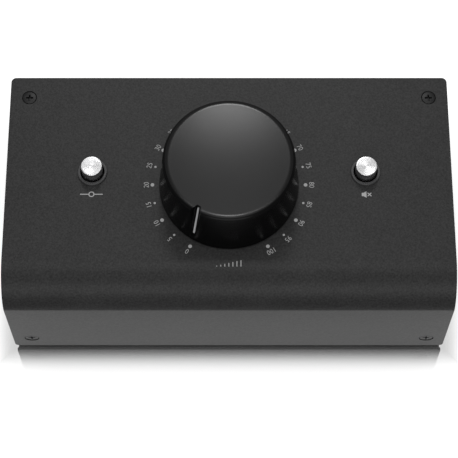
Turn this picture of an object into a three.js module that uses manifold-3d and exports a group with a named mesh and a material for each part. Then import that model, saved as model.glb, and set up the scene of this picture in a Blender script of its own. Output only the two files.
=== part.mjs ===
// Studio monitor controller: a passive desk box with one large level knob, two push buttons and five sockets.
// Millimetres, +Z up. The origin is on the table under the knob's axis, -Y is the front and +X the right.
import * as THREE from "three";
import { mergeVertices } from "three/addons/utils/BufferGeometryUtils.js";
import Module from "manifold-3d";

const wasm = await Module();
wasm.setup();

// Casing
const BODY_WIDTH = 150;
const BODY_DEPTH = 81.1;
const PANEL_HEIGHT = 49.6;
const SHEET = 1.2;
const FRONT_BEND_RADIUS = 14.3;
const FRONT_BEND_DEGREES = 80;
const COVER_SIDE_OVERHANG = 0.3;
const COVER_REAR_OVERHANG = 0.6;
const COVER_SKIRT = 0.3;
const PLAN_CORNER = 1.7;
const SKIRT_CORNER = 1.5;
const FOLD_RADIUS = 1.9;
const LIP_HEIGHT = 12.5;
const FLANGE_DEPTH = 11;
const RELIEF = 1;
const SEAM = 0.4;

// Feet
const FOOT_RADIUS = 5;
const FOOT_HEIGHT = 2.6;
const FOOT_EDGE = 0.6;
const FOOT_INSET = 12;

// Countersunk screws, the same for the cover and the sockets
const SCREW_HEAD_RADIUS = 2.35;
const SCREW_RADIUS = 1.4;
const SCREW_LENGTH = 5.5;
const SCREW_SINK = 0.15;
const SCREW_EDGE = 0.05;
const SCREW_CLEARANCE = 0.1;
const SEAT_CLEARANCE = 0.05;
const CROSS_LENGTH = 2.6;
const CROSS_WIDTH = 0.7;
const CROSS_DEPTH = 0.9;
const COVER_SCREW_SIDE_INSET = 6.55;
const COVER_SCREW_REAR_INSET = 7.7;
const COVER_SCREW_FRONT_HEIGHT = 10.1;

// Level knob
const KNOB_LIFT = 0.5;
const KNOB_BASE_RADIUS = 23.4;
const KNOB_TOP_RADIUS = 21.7;
const KNOB_RIM_HEIGHT = 20.8;
const KNOB_EDGE = 2.3;
const KNOB_DOME_RISE = 0.55;
const KNOB_FOOT_EDGE = 0.3;
const KNOB_WALL = 3;
const KNOB_ROOF = 2.55;
const KNOB_HUB_RADIUS = 5.6;
const KNOB_HUB_LIFT = 6;
const KNOB_RIB = 1.3;
const KNOB_RIB_COUNT = 6;
const KNOB_RIB_LIFT = 8;
const KNOB_SWEEP_DEGREES = 300;

// Pointer and the slanted notch that holds it, on the side of the knob
const POINTER_FOOT_INSET = 0.5;
const POINTER_FOOT_HEIGHT = 5.8;
const POINTER_TOP_INSET = 2.35;
const POINTER_TOP_DROP = 0.8;
const POINTER_WIDTH = 0.65;
const POINTER_PROUD = 0.25;
const POINTER_SUNK = 0.5;
const POINTER_CLEARANCE = 0.05;
const POINTER_END_INSET = 0.3;
const NOTCH_FLOOR_WIDTH = 1.3;
const NOTCH_RIM_WIDTH = 3.4;
const NOTCH_RIM_DEPTH = 2.05;

// Potentiometer
const SHAFT_RADIUS = 3;
const SHAFT_FLAT = 1.5;
const SHAFT_TOP = 16.4;
const SHAFT_CHAMFER = 0.5;
const CORE_RADIUS = 2;
const PIVOT_RADIUS = 1.4;
const SHAFT_CLEARANCE = 0.08;
const CORE_CLEARANCE = 0.2;
const BUSHING_RADIUS = 4.5;
const BUSHING_TOP = 4.6;
const BUSHING_CHAMFER = 0.4;
const BUSHING_CLEARANCE = 0.15;
const POT_SIDE = 22;
const POT_CORNER = 1.6;
const POT_PLATE = 1.6;
const LUG_LENGTH = 3;
const LUG_WIDTH = 1.2;
const LUG_HEIGHT = 0.9;
const LUG_OFFSET = 8.4;
const LUG_CLEARANCE = 0.15;
const GANG_COUNT = 4;
const GANG_BODY = 4.3;
const GANG_BODY_INSET = 1;
const GANG_WAFER = 1.3;
const PIN_WIDTH = 0.9;
const PIN_THICKNESS = 0.5;
const PIN_SPACING = 5;
const PIN_CLEARANCE = 0.15;
const PIN_PROUD = 0.8;
const FRAME_SHEET = 0.8;
const FRAME_STRAP = 8;
const NUT_FLATS = 12;
const NUT_HEIGHT = 2.2;
const WASHER_RADIUS = 7.5;
const WASHER_THICKNESS = 0.6;
const THREAD_CLEARANCE = 0.05;

// Push buttons and their switches
const BUTTON_SIDE_INSET = 29.05;
const BUTTON_Y = 4.67;
const CAP_RADIUS = 3.55;
const CAP_PROUD = 5.1;
const CAP_LENGTH = 8.4;
const CAP_EDGE = 0.45;
const CAP_ROOF = 1.4;
const COLLAR_RADIUS = 5;
const COLLAR_HEIGHT = 0.8;
const COLLAR_EDGE = 0.3;
const COLLAR_BORE = 4.05;
const COLLAR_BARREL = 4.5;
const COLLAR_DROP = 3.2;
const COLLAR_BARB = 0.25;
const COLLAR_BARB_HEIGHT = 0.9;
const COLLAR_CLEARANCE = 0.1;
const STEM_SIDE = 3.3;
const STEM_CLEARANCE = 0.15;
const SHOULDER_SIDE = 5.2;
const SHOULDER_THICKNESS = 0.8;
const SHOULDER_DROP = 0.5;
const SPRING_LENGTH = 5.2;
const SPRING_RADIUS = 2.75;
const SPRING_WIRE = 0.22;
const SPRING_TURNS = 4;
const SPRING_SEAT = 0.02;
const SWITCH_SIDE = 8.2;
const SWITCH_HEIGHT = 7.4;
const SWITCH_BORE_DEPTH = 6.4;
const STEM_DEPTH = 3;
const SWITCH_LEG_LENGTH = 2.6;
const SWITCH_LEG_WIDTH = 0.7;
const SWITCH_LEG_PITCH = 2.6;
const SWITCH_LEG_ROW = 2.4;
const BOARD = 1.6;
const SWITCH_BOARD_WIDTH = 22;
const SWITCH_BOARD_FRONT = 11;
const SWITCH_BOARD_REAR = 8.6;
const STANDOFF_RADIUS = 2.6;
const STANDOFF_X = 7.6;
const STANDOFF_FRONT = 7.8;
const STANDOFF_REAR = 5.4;
const BOARD_SCREW_RADIUS = 1.2;
const BOARD_SCREW_LENGTH = 6;
const BOARD_SCREW_HEAD_RADIUS = 2.3;
const BOARD_SCREW_HEAD_HEIGHT = 1.6;
const LEAD_WIDTH = 6;
const LEAD_X = -6.2;
const LEAD_THICKNESS = 0.9;
const LEAD_HEADER = 3;
const LEAD_HEADER_HALF = 1.6;
const LEAD_BEND = 4;

// Main board and rear sockets
const MAIN_BOARD_POT_GAP = 3.6;
const MAIN_BOARD_SIDE_GAP = 7.5;
const MAIN_BOARD_FLOOR_GAP = 3.2;
const MAIN_BOARD_PANEL_GAP = 2.9;
const SOCKET_DROP = 1.5;
const SOCKET_SIDE_GAP_SHARE = 0.21875;
const SOCKET_PAIR_GAP_SHARE = 0.1625;
const NOSE_RADIUS = 11.8;
const NOSE_CLEARANCE = 0.2;
const NOSE_EDGE = 0.5;
const FLANGE_WIDTH = 26;
const FLANGE_HEIGHT = 31;
const FLANGE_CORNER = 2.5;
const FLANGE_THICKNESS = 3;
const HOUSING_WIDTH = 25;
const HOUSING_HEIGHT = 27.5;
const SOCKET_SCREW_X = 9.5;
const SOCKET_SCREW_Z = 12;
const SOCKET_SCREW_BOTTOM_GAP = 0.5;
const COMBO_BORE = 9.7;
const COMBO_BACK = 3.55;
const BLOCK_RADIUS = 7.7;
const BLOCK_RECESS = 2.5;
const BLOCK_BORE = 3.3;
const BLOCK_EDGE = 0.4;
const BLOCK_BACK = 2;
const BLOCK_HOLE = 1.4;
const BLOCK_HOLE_DEPTH = 11;
const XLR_BORE = 9.4;
const XLR_DEPTH = 15;
const XLR_KEY_WIDTH = 4;
const XLR_KEY_DEPTH = 1;
const INSERT_RADIUS = 9.2;
const INSERT_THICKNESS = 3;
const XLR_PIN_RADIUS = 1.2;
const XLR_PIN_LENGTH = 10.5;
const XLR_PIN_TIP = 0.5;
const CONTACT_CIRCLE = 5.5;
const CONTACT_DEGREES = [15, 165, 270];
const JACK_NOSE = 4;
const JACK_BORE = 1.85;
const JACK_BORE_DEPTH = 14;
const JACK_SIDE = 11;
const JACK_HEIGHT_SHARE = 0.55;

// One overrun for every cut, and the distance within which vertices are one
const OVERRUN = 1;
const WELD = 0.0001;

// Facets
const KNOB_FACETS = 72;
const ROUND_FACETS = 28;
const SMALL_FACETS = 18;
const HOLE_FACETS = 12;
const BEND_FACETS = 7;
const CORNER_FACETS = 2;
const EDGE_FACETS = 4;
const DOME_FACETS = 4;
const COIL_STEPS = 8;
const WIRE_SIDES = 5;

// Places that follow from the sizes above
const FRONT_Y = -BODY_DEPTH / 2;
const REAR_Y = BODY_DEPTH / 2;
const WALL_REAR_Y = REAR_Y - COVER_REAR_OVERHANG;
const WALL_INNER_Y = WALL_REAR_Y - SHEET;
const PANEL_INNER = PANEL_HEIGHT - SHEET;
const CHASSIS_HALF_WIDTH = BODY_WIDTH / 2 - COVER_SIDE_OVERHANG;
const COVER_SCREW_X = BODY_WIDTH / 2 - COVER_SCREW_SIDE_INSET;
const COVER_SCREW_REAR_Y = REAR_Y - COVER_SCREW_REAR_INSET;
const SCREW_HOLE = SCREW_RADIUS + SCREW_CLEARANCE;
const GANG_PITCH = GANG_BODY + GANG_WAFER;
const GANGS_TOP = PANEL_INNER - POT_PLATE;
const GANGS_BOTTOM = GANGS_TOP - GANG_COUNT * GANG_PITCH;
const FLOOR_TOP = FOOT_HEIGHT + SHEET;
const CLEAR_HALF_WIDTH = CHASSIS_HALF_WIDTH - SHEET;
const BUTTON_X = BODY_WIDTH / 2 - BUTTON_SIDE_INSET;
const MAIN_BOARD_FRONT = POT_SIDE / 2 + MAIN_BOARD_POT_GAP;
const MAIN_BOARD_REAR = MAIN_BOARD_FRONT + BOARD;
const MAIN_BOARD_WIDTH = 2 * (CLEAR_HALF_WIDTH - MAIN_BOARD_SIDE_GAP);
const MAIN_BOARD_BOTTOM = FLOOR_TOP + MAIN_BOARD_FLOOR_GAP;
const MAIN_BOARD_TOP = PANEL_INNER - MAIN_BOARD_PANEL_GAP;
const SOCKET_HEIGHT = (FLOOR_TOP + PANEL_INNER) / 2 - SOCKET_DROP;
const SOCKET_SPARE = CLEAR_HALF_WIDTH - JACK_SIDE / 2 - 2 * FLANGE_WIDTH;
const SOCKET_OUTER_X = CLEAR_HALF_WIDTH - SOCKET_SIDE_GAP_SHARE * SOCKET_SPARE - FLANGE_WIDTH / 2;
const SOCKET_INNER_X = SOCKET_OUTER_X - FLANGE_WIDTH - SOCKET_PAIR_GAP_SHARE * SOCKET_SPARE;
const SOCKET_DEPTH = WALL_INNER_Y - MAIN_BOARD_REAR;
const COMBO_DEPTH = SOCKET_DEPTH - COMBO_BACK;
const LOWEST_PINS = GANGS_BOTTOM + (GANG_WAFER - PIN_THICKNESS) / 2;
const JACK_HEIGHT = FLOOR_TOP + JACK_HEIGHT_SHARE * (LOWEST_PINS - FLOOR_TOP);
const NOSE_LENGTH = SHEET + COVER_REAR_OVERHANG;
const CAP_TOP = PANEL_HEIGHT + CAP_PROUD;
const CAP_BOTTOM = CAP_TOP - CAP_LENGTH;
const SHOULDER_TOP = CAP_BOTTOM - SHOULDER_DROP;
const SPRING_TOP = SHOULDER_TOP - SHOULDER_THICKNESS;
const SWITCH_TOP = SPRING_TOP - SPRING_LENGTH;
const SWITCH_BOTTOM = SWITCH_TOP - SWITCH_HEIGHT;
const SWITCH_BOARD_BOTTOM = SWITCH_BOTTOM - BOARD;

// Finishes
function finish(color, roughness, metalness) {
  return new THREE.MeshStandardMaterial({ color, roughness, metalness });
}

const CASING_PAINT = finish(0x39393b, 0.62, 0);
const FRONT_PLASTIC = finish(0x1c1c1e, 0.4, 0);
const KNOB_BLACK = finish(0x0c0c0d, 0.2, 0);
const POINTER_SILVER = finish(0x9a9a9c, 0.35, 0.6);
const CAP_SILVER = finish(0xe2e2e4, 0.25, 1);
const SCREW_BLACK = finish(0x161617, 0.45, 1);
const RUBBER = finish(0x151515, 0.9, 0);
const BRIGHT_METAL = finish(0xb9babc, 0.35, 1);
const WAFER_BROWN = finish(0x6d4a2c, 0.7, 0);
const BOARD_GREEN = finish(0x1f5a34, 0.5, 0);
const SOCKET_BLACK = finish(0x17181a, 0.5, 0);
const LEAD_GREY = finish(0x8d8f92, 0.7, 0);

// A closed solid from a geometry: shared vertices are merged and triangles without area are dropped.
function solidOf(geometry) {
  const bare = geometry.clone();
  bare.deleteAttribute("normal");
  bare.deleteAttribute("uv");
  const merged = mergeVertices(bare, WELD);
  const corners = merged.index.array;
  const kept = [];
  for (let i = 0; i < corners.length; i += 3) {
    const [a, b, c] = corners.slice(i, i + 3);
    if (a !== b && b !== c && a !== c) kept.push(a, b, c);
  }
  return new wasm.Manifold(
    new wasm.Mesh({
      numProp: 3,
      vertProperties: new Float32Array(merged.attributes.position.array),
      triVerts: new Uint32Array(kept),
    }),
  );
}

function geometryOf(solid) {
  const made = solid.getMesh();
  const places = new Float32Array(made.numVert * 3);
  for (let i = 0; i < made.numVert; i += 1) {
    places.set(made.vertProperties.subarray(i * made.numProp, i * made.numProp + 3), i * 3);
  }
  const geometry = new THREE.BufferGeometry();
  geometry.setAttribute("position", new THREE.BufferAttribute(places, 3));
  geometry.setIndex(new THREE.BufferAttribute(new Uint32Array(made.triVerts), 1));
  geometry.computeVertexNormals();
  return geometry;
}

const cut = (body, ...tools) => tools.reduce((left, tool) => left.subtract(tool), body);
const join = (body, ...others) => others.reduce((whole, other) => whole.add(other), body);

function piece(name, solid, material) {
  const mesh = new THREE.Mesh(geometryOf(solid), material);
  mesh.name = name;
  return mesh;
}

// Shapes. A prism's outline lies in XY, YZ or XZ, and it runs between two places on the third axis.
function prismZ(shape, bottom, top, facets = CORNER_FACETS) {
  const geometry = new THREE.ExtrudeGeometry(shape, {
    depth: top - bottom,
    bevelEnabled: false,
    curveSegments: facets,
  });
  return solidOf(geometry.translate(0, 0, bottom));
}

function prismX(shape, left, right, facets = CORNER_FACETS) {
  const geometry = new THREE.ExtrudeGeometry(shape, {
    depth: right - left,
    bevelEnabled: false,
    curveSegments: facets,
  });
  const turn = new THREE.Matrix4().makeBasis(
    new THREE.Vector3(0, 1, 0),
    new THREE.Vector3(0, 0, 1),
    new THREE.Vector3(1, 0, 0),
  );
  return solidOf(geometry.applyMatrix4(turn).translate(left, 0, 0));
}

function prismY(shape, front, rear, facets = CORNER_FACETS) {
  const geometry = new THREE.ExtrudeGeometry(shape, {
    depth: rear - front,
    bevelEnabled: false,
    curveSegments: facets,
  });
  const turn = new THREE.Matrix4().makeBasis(
    new THREE.Vector3(1, 0, 0),
    new THREE.Vector3(0, 0, 1),
    new THREE.Vector3(0, -1, 0),
  );
  return solidOf(geometry.applyMatrix4(turn).translate(0, rear, 0));
}

function box(left, right, front, rear, bottom, top) {
  const geometry = new THREE.BoxGeometry(right - left, rear - front, top - bottom);
  return solidOf(geometry.translate((left + right) / 2, (front + rear) / 2, (bottom + top) / 2));
}

// A turned solid about Z. The profile is a list of [radius, height], and starts and ends on the axis.
function turned(profile, facets, x = 0, y = 0) {
  const points = profile.map(([radius, height]) => new THREE.Vector2(radius, height));
  const upward = THREE.ShapeUtils.area(points) > 0 ? points : points.reverse();
  const geometry = new THREE.LatheGeometry(upward, facets);
  return solidOf(geometry.rotateX(Math.PI / 2).translate(x, y, 0));
}

const post = (radius, bottom, top, facets, x = 0, y = 0) =>
  turned([[0, bottom], [radius, bottom], [radius, top], [0, top]], facets, x, y);

// A post that lies along Y.
function barY(radius, front, rear, facets, x, z) {
  const geometry = new THREE.CylinderGeometry(radius, radius, rear - front, facets);
  return solidOf(geometry.translate(x, (front + rear) / 2, z));
}

// An outline about (x, y), with its own corner radius at the low and the high side.
function plate(width, height, lowCorner, highCorner = lowCorner, x = 0, y = 0) {
  const right = width / 2;
  const top = height / 2;
  const shape = new THREE.Shape();
  const corners = [
    [x - right, y - top, lowCorner, Math.PI],
    [x + right, y - top, lowCorner, -Math.PI / 2],
    [x + right, y + top, highCorner, 0],
    [x - right, y + top, highCorner, Math.PI / 2],
  ];
  corners.forEach(([cx, cy, radius, from], i) => {
    if (radius > 0) {
      const inX = cx + radius * Math.sign(x - cx);
      const inY = cy + radius * Math.sign(y - cy);
      shape.absarc(inX, inY, radius, from, from + Math.PI / 2, false);
    } else if (i === 0) shape.moveTo(cx, cy);
    else shape.lineTo(cx, cy);
  });
  shape.closePath();
  return shape;
}

// Points of a quarter round in a profile, about a centre.
function roundPoints(radius, height, edge, from, to, steps) {
  return Array.from({ length: steps + 1 }, (_, i) => {
    const angle = from + ((to - from) * i) / steps;
    return [radius + edge * Math.cos(angle), height + edge * Math.sin(angle)];
  });
}

// Countersunk hole and screw about Z, with the sheet's surface at height 0 and the screw going down.
function countersink(depth) {
  const mouth = SCREW_HEAD_RADIUS + SCREW_SINK + SCREW_EDGE + SEAT_CLEARANCE;
  return turned(
    [
      [0, OVERRUN],
      [mouth, OVERRUN],
      [mouth, 0],
      [SCREW_HOLE, SCREW_HOLE - mouth],
      [SCREW_HOLE, -depth],
      [0, -depth],
    ],
    HOLE_FACETS,
  );
}

function screw() {
  const top = -SCREW_SINK;
  const neck = top - SCREW_EDGE - (SCREW_HEAD_RADIUS - SCREW_RADIUS);
  const body = turned(
    [
      [0, top],
      [SCREW_HEAD_RADIUS, top],
      [SCREW_HEAD_RADIUS, top - SCREW_EDGE],
      [SCREW_RADIUS, neck],
      [SCREW_RADIUS, top - SCREW_LENGTH],
      [0, top - SCREW_LENGTH],
    ],
    HOLE_FACETS,
  );
  const arm = CROSS_LENGTH / 2;
  const half = CROSS_WIDTH / 2;
  return cut(
    body,
    box(-arm, arm, -half, half, top - CROSS_DEPTH, OVERRUN),
    box(-half, half, -arm, arm, top - CROSS_DEPTH, OVERRUN),
  );
}

// Turns that lay something made about Z towards the front, or towards the rear as seen from behind.
const TOWARDS_FRONT = new THREE.Matrix4().makeBasis(
  new THREE.Vector3(1, 0, 0),
  new THREE.Vector3(0, 0, 1),
  new THREE.Vector3(0, -1, 0),
);
const TOWARDS_REAR = new THREE.Matrix4().makeBasis(
  new THREE.Vector3(-1, 0, 0),
  new THREE.Vector3(0, 0, 1),
  new THREE.Vector3(0, 1, 0),
);

function laid(solid, turn, x, y, z) {
  return solidOf(geometryOf(solid).applyMatrix4(turn).translate(x, y, z));
}

const SIDES = [["left", -1], ["right", 1]];
const SOCKETS = [
  { name: "combo_input_left", x: -SOCKET_OUTER_X },
  { name: "combo_input_right", x: -SOCKET_INNER_X },
  { name: "xlr_output_left", x: SOCKET_INNER_X },
  { name: "xlr_output_right", x: SOCKET_OUTER_X },
];
const BUTTONS = [
  { name: "mono", x: -BUTTON_X },
  { name: "mute", x: BUTTON_X },
];
const STANDOFFS = [
  { name: "front", x: -STANDOFF_X, y: -STANDOFF_FRONT },
  { name: "rear", x: STANDOFF_X, y: STANDOFF_REAR },
];
const SOCKET_SCREWS = [
  { name: "upper", x: SOCKET_SCREW_X, z: SOCKET_SCREW_Z },
  { name: "lower", x: -SOCKET_SCREW_X, z: -SOCKET_SCREW_Z },
];

// Cover: one sheet from the rear edge over the bend to the skirt, set back by an inset for its inner face.
// The bend stops short of upright, so it meets the front in a slight crease.
function sheetOutline(inset, rear, bottom) {
  const shape = new THREE.Shape();
  const run = FRONT_BEND_RADIUS * Math.sin((FRONT_BEND_DEGREES * Math.PI) / 180);
  const radius = FRONT_BEND_RADIUS - inset;
  const bendY = FRONT_Y + run;
  const bendZ = PANEL_HEIGHT - FRONT_BEND_RADIUS;
  const turn = Math.asin((run - inset) / radius);
  shape.moveTo(rear, bottom);
  shape.lineTo(rear, PANEL_HEIGHT - inset);
  shape.absarc(bendY, bendZ, radius, Math.PI / 2, Math.PI / 2 + turn, false);
  shape.lineTo(FRONT_Y + inset, bottom);
  shape.closePath();
  return shape;
}

function coverSheet() {
  const bottom = FOOT_HEIGHT - COVER_SKIRT;
  const half = BODY_WIDTH / 2;
  const outer = prismX(sheetOutline(0, REAR_Y, bottom), -half, half, BEND_FACETS);
  const inner = sheetOutline(SHEET, REAR_Y + OVERRUN, bottom - OVERRUN);
  const hollow = prismX(inner, -half - OVERRUN, half + OVERRUN, BEND_FACETS);
  const height = PANEL_HEIGHT - bottom;
  const plan = plate(BODY_WIDTH, BODY_DEPTH, 0, PLAN_CORNER);
  const front = plate(BODY_WIDTH, height, SKIRT_CORNER, 0, 0, bottom + height / 2);
  return cut(outer, hollow)
    .intersect(prismZ(plan, bottom - OVERRUN, PANEL_HEIGHT + OVERRUN, CORNER_FACETS))
    .intersect(prismY(front, FRONT_Y - OVERRUN, REAR_Y + OVERRUN, CORNER_FACETS));
}

// Standoffs are clinched into the sheet under each switch board.
function standoff(x, y) {
  const body = post(STANDOFF_RADIUS, SWITCH_BOTTOM, PANEL_INNER + SHEET / 2, HOLE_FACETS, x, y);
  const hole = BOARD_SCREW_RADIUS + SCREW_CLEARANCE;
  const depth = SWITCH_BOTTOM + BOARD_SCREW_LENGTH;
  return cut(body, post(hole, SWITCH_BOTTOM - OVERRUN, depth, HOLE_FACETS, x, y));
}

function topCover() {
  let cover = coverSheet();
  const lugHalf = LUG_LENGTH / 2 + LUG_CLEARANCE;
  const lugFront = -LUG_OFFSET - LUG_WIDTH / 2 - LUG_CLEARANCE;
  const lugRear = -LUG_OFFSET + LUG_WIDTH / 2 + LUG_CLEARANCE;
  for (const [, side] of SIDES) {
    const x = side * COVER_SCREW_X;
    const down = countersink(SHEET + OVERRUN);
    cover = cut(
      cover,
      solidOf(geometryOf(down).translate(x, COVER_SCREW_REAR_Y, PANEL_HEIGHT)),
      laid(down, TOWARDS_FRONT, x, FRONT_Y, COVER_SCREW_FRONT_HEIGHT),
    );
  }
  for (const { x } of BUTTONS) {
    const hole = COLLAR_BARREL + COLLAR_CLEARANCE;
    cover = cut(cover, post(hole, PANEL_INNER - OVERRUN, PANEL_HEIGHT + OVERRUN, ROUND_FACETS, x, BUTTON_Y));
    for (const at of STANDOFFS) cover = join(cover, standoff(x + at.x, BUTTON_Y + at.y));
  }
  const bushingHole = BUSHING_RADIUS + BUSHING_CLEARANCE;
  return cut(
    cover,
    post(bushingHole, PANEL_INNER - OVERRUN, PANEL_HEIGHT + OVERRUN, ROUND_FACETS),
    box(-lugHalf, lugHalf, lugFront, lugRear, PANEL_INNER - OVERRUN, PANEL_HEIGHT + OVERRUN),
  );
}

// Chassis: folded floor, sides and rear wall, with a lip at the front and a flange at the top of the rear.
function chassisShell() {
  const half = CHASSIS_HALF_WIDTH;
  const height = PANEL_INNER - FOOT_HEIGHT;
  const middle = FOOT_HEIGHT + height / 2;
  const outer = prismX(sheetOutline(SHEET, WALL_REAR_Y, FOOT_HEIGHT), -half, half, BEND_FACETS);
  const across = plate(2 * half, height, FOLD_RADIUS, 0, 0, middle);
  const folded = outer.intersect(prismY(across, FRONT_Y, REAR_Y, CORNER_FACETS));
  const inside = plate(2 * (half - SHEET), height, FOLD_RADIUS - SHEET, 0, 0, middle + SHEET);
  const lipInner = FRONT_Y + SHEET + SHEET;
  const hollow = prismY(inside, lipInner, WALL_INNER_Y, CORNER_FACETS);
  const flange = box(-half, half, WALL_INNER_Y - FLANGE_DEPTH, WALL_REAR_Y, PANEL_INNER - SHEET, PANEL_INNER);
  const aboveLip = box(
    SHEET - half,
    half - SHEET,
    FRONT_Y,
    lipInner + OVERRUN,
    FOOT_HEIGHT + LIP_HEIGHT,
    PANEL_HEIGHT,
  );
  return cut(folded, cut(hollow, flange), aboveLip);
}

// The slits that let the sheet fold: between the rear wall and the sides, and beside the lip and the flange.
function foldReliefs() {
  const half = CHASSIS_HALF_WIDTH;
  const reliefs = [];
  for (const [, side] of SIDES) {
    const span = (a, b) => [Math.min(side * a, side * b), Math.max(side * a, side * b)];
    const [wallLeft, wallRight] = span(half - SHEET, half + OVERRUN);
    const [slotLeft, slotRight] = span(half - SHEET - RELIEF, half - SHEET);
    const floor = FOOT_HEIGHT + FOLD_RADIUS;
    const flangeFront = WALL_INNER_Y - FLANGE_DEPTH - OVERRUN;
    const underFlange = PANEL_INNER - SHEET - OVERRUN;
    reliefs.push(
      box(wallLeft, wallRight, WALL_INNER_Y - SEAM, WALL_INNER_Y, floor, PANEL_HEIGHT),
      box(slotLeft, slotRight, flangeFront, WALL_INNER_Y, underFlange, PANEL_HEIGHT),
      box(slotLeft, slotRight, FRONT_Y, FRONT_Y + SHEET + SHEET, floor, FOOT_HEIGHT + LIP_HEIGHT + OVERRUN),
    );
  }
  return reliefs;
}

function chassis() {
  let body = cut(chassisShell(), ...foldReliefs());
  for (const [, side] of SIDES) {
    const x = side * COVER_SCREW_X;
    body = cut(
      body,
      post(SCREW_HOLE, PANEL_INNER - SHEET - OVERRUN, PANEL_HEIGHT, HOLE_FACETS, x, COVER_SCREW_REAR_Y),
      barY(SCREW_HOLE, FRONT_Y, FRONT_Y + SHEET + SHEET + OVERRUN, HOLE_FACETS, x, COVER_SCREW_FRONT_HEIGHT),
    );
  }
  for (const { x } of SOCKETS) {
    const hole = NOSE_RADIUS + NOSE_CLEARANCE;
    body = cut(body, barY(hole, WALL_INNER_Y - OVERRUN, REAR_Y + OVERRUN, ROUND_FACETS, x, SOCKET_HEIGHT));
    for (const at of SOCKET_SCREWS) {
      const sunk = countersink(SHEET + OVERRUN);
      body = cut(body, laid(sunk, TOWARDS_REAR, x - at.x, WALL_REAR_Y, SOCKET_HEIGHT + at.z));
    }
  }
  const jackHole = JACK_NOSE + NOSE_CLEARANCE;
  return cut(body, barY(jackHole, WALL_INNER_Y - OVERRUN, REAR_Y + OVERRUN, SMALL_FACETS, 0, JACK_HEIGHT));
}

function foot(x, y) {
  const low = roundPoints(FOOT_RADIUS - FOOT_EDGE, FOOT_EDGE, FOOT_EDGE, -Math.PI / 2, 0, EDGE_FACETS / 2);
  return turned([[0, 0], ...low, [FOOT_RADIUS, FOOT_HEIGHT], [0, FOOT_HEIGHT]], SMALL_FACETS, x, y);
}

// Level knob, about its own axis with the panel at height 0 and the pointer towards +Y.
function knobOuter() {
  const crownRadius = KNOB_TOP_RADIUS - KNOB_EDGE;
  const shoulder = KNOB_RIM_HEIGHT - KNOB_EDGE;
  const dome = Array.from({ length: DOME_FACETS }, (_, i) => {
    const share = 1 - (i + 1) / DOME_FACETS;
    return [crownRadius * share, KNOB_RIM_HEIGHT + KNOB_DOME_RISE * (1 - share * share)];
  });
  return turned(
    [
      [0, KNOB_LIFT],
      [KNOB_BASE_RADIUS - KNOB_FOOT_EDGE, KNOB_LIFT],
      [KNOB_BASE_RADIUS, KNOB_LIFT + KNOB_FOOT_EDGE],
      ...roundPoints(crownRadius, shoulder, KNOB_EDGE, 0, Math.PI / 2, EDGE_FACETS),
      ...dome,
    ],
    KNOB_FACETS,
  );
}

function knobHollow() {
  const ceiling = KNOB_RIM_HEIGHT - KNOB_ROOF;
  const base = KNOB_BASE_RADIUS - KNOB_WALL;
  const top = KNOB_TOP_RADIUS - KNOB_WALL;
  const cavity = turned([[0, -OVERRUN], [base, -OVERRUN], [base, KNOB_LIFT], [top, ceiling], [0, ceiling]],
    ROUND_FACETS);
  const hub = post(KNOB_HUB_RADIUS, KNOB_HUB_LIFT, KNOB_RIM_HEIGHT, SMALL_FACETS);
  let left = cut(cavity, hub);
  for (let i = 0; i < KNOB_RIB_COUNT / 2; i += 1) {
    const rib = new THREE.BoxGeometry(2 * KNOB_BASE_RADIUS, KNOB_RIB, KNOB_RIM_HEIGHT);
    rib.translate(0, 0, KNOB_RIB_LIFT + KNOB_RIM_HEIGHT / 2);
    left = cut(left, solidOf(rib.rotateZ((2 * Math.PI * i) / KNOB_RIB_COUNT)));
  }
  return left;
}

// The bore follows the shaft's round and flat.
function shaftBore() {
  const radius = SHAFT_RADIUS + SHAFT_CLEARANCE;
  const flat = SHAFT_FLAT + SHAFT_CLEARANCE;
  const round = post(radius, -OVERRUN, SHAFT_TOP + SHAFT_CLEARANCE, SMALL_FACETS);
  return cut(round, box(flat, radius + OVERRUN, -radius, radius, -OVERRUN - OVERRUN, KNOB_RIM_HEIGHT));
}

// The notch's floor is a straight line up the side: its start, direction and outward normal.
function notchFrame() {
  const foot = new THREE.Vector3(0, KNOB_BASE_RADIUS - POINTER_FOOT_INSET, POINTER_FOOT_HEIGHT);
  const top = new THREE.Vector3(0, KNOB_TOP_RADIUS - POINTER_TOP_INSET, KNOB_RIM_HEIGHT - POINTER_TOP_DROP);
  const along = top.clone().sub(foot);
  const length = along.length();
  along.normalize();
  const across = new THREE.Vector3(1, 0, 0);
  const outward = new THREE.Vector3().crossVectors(along, across);
  return { foot, along, across, outward, length };
}

function notch() {
  const { foot, along, across, outward, length } = notchFrame();
  const spread = (NOTCH_RIM_WIDTH - NOTCH_FLOOR_WIDTH) / 2 / NOTCH_RIM_DEPTH;
  const reach = KNOB_EDGE + NOTCH_RIM_DEPTH;
  const floorHalf = NOTCH_FLOOR_WIDTH / 2;
  const mouthHalf = floorHalf + spread * reach;
  const shape = new THREE.Shape();
  shape.moveTo(-floorHalf, 0);
  shape.lineTo(floorHalf, 0);
  shape.lineTo(mouthHalf, reach);
  shape.lineTo(-mouthHalf, reach);
  shape.closePath();
  const depth = length + KNOB_EDGE + OVERRUN;
  const geometry = new THREE.ExtrudeGeometry(shape, { depth, bevelEnabled: false });
  geometry.translate(0, 0, -OVERRUN);
  const frame = new THREE.Matrix4().makeBasis(across, outward, along);
  return solidOf(geometry.applyMatrix4(frame.setPosition(foot)));
}

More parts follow.
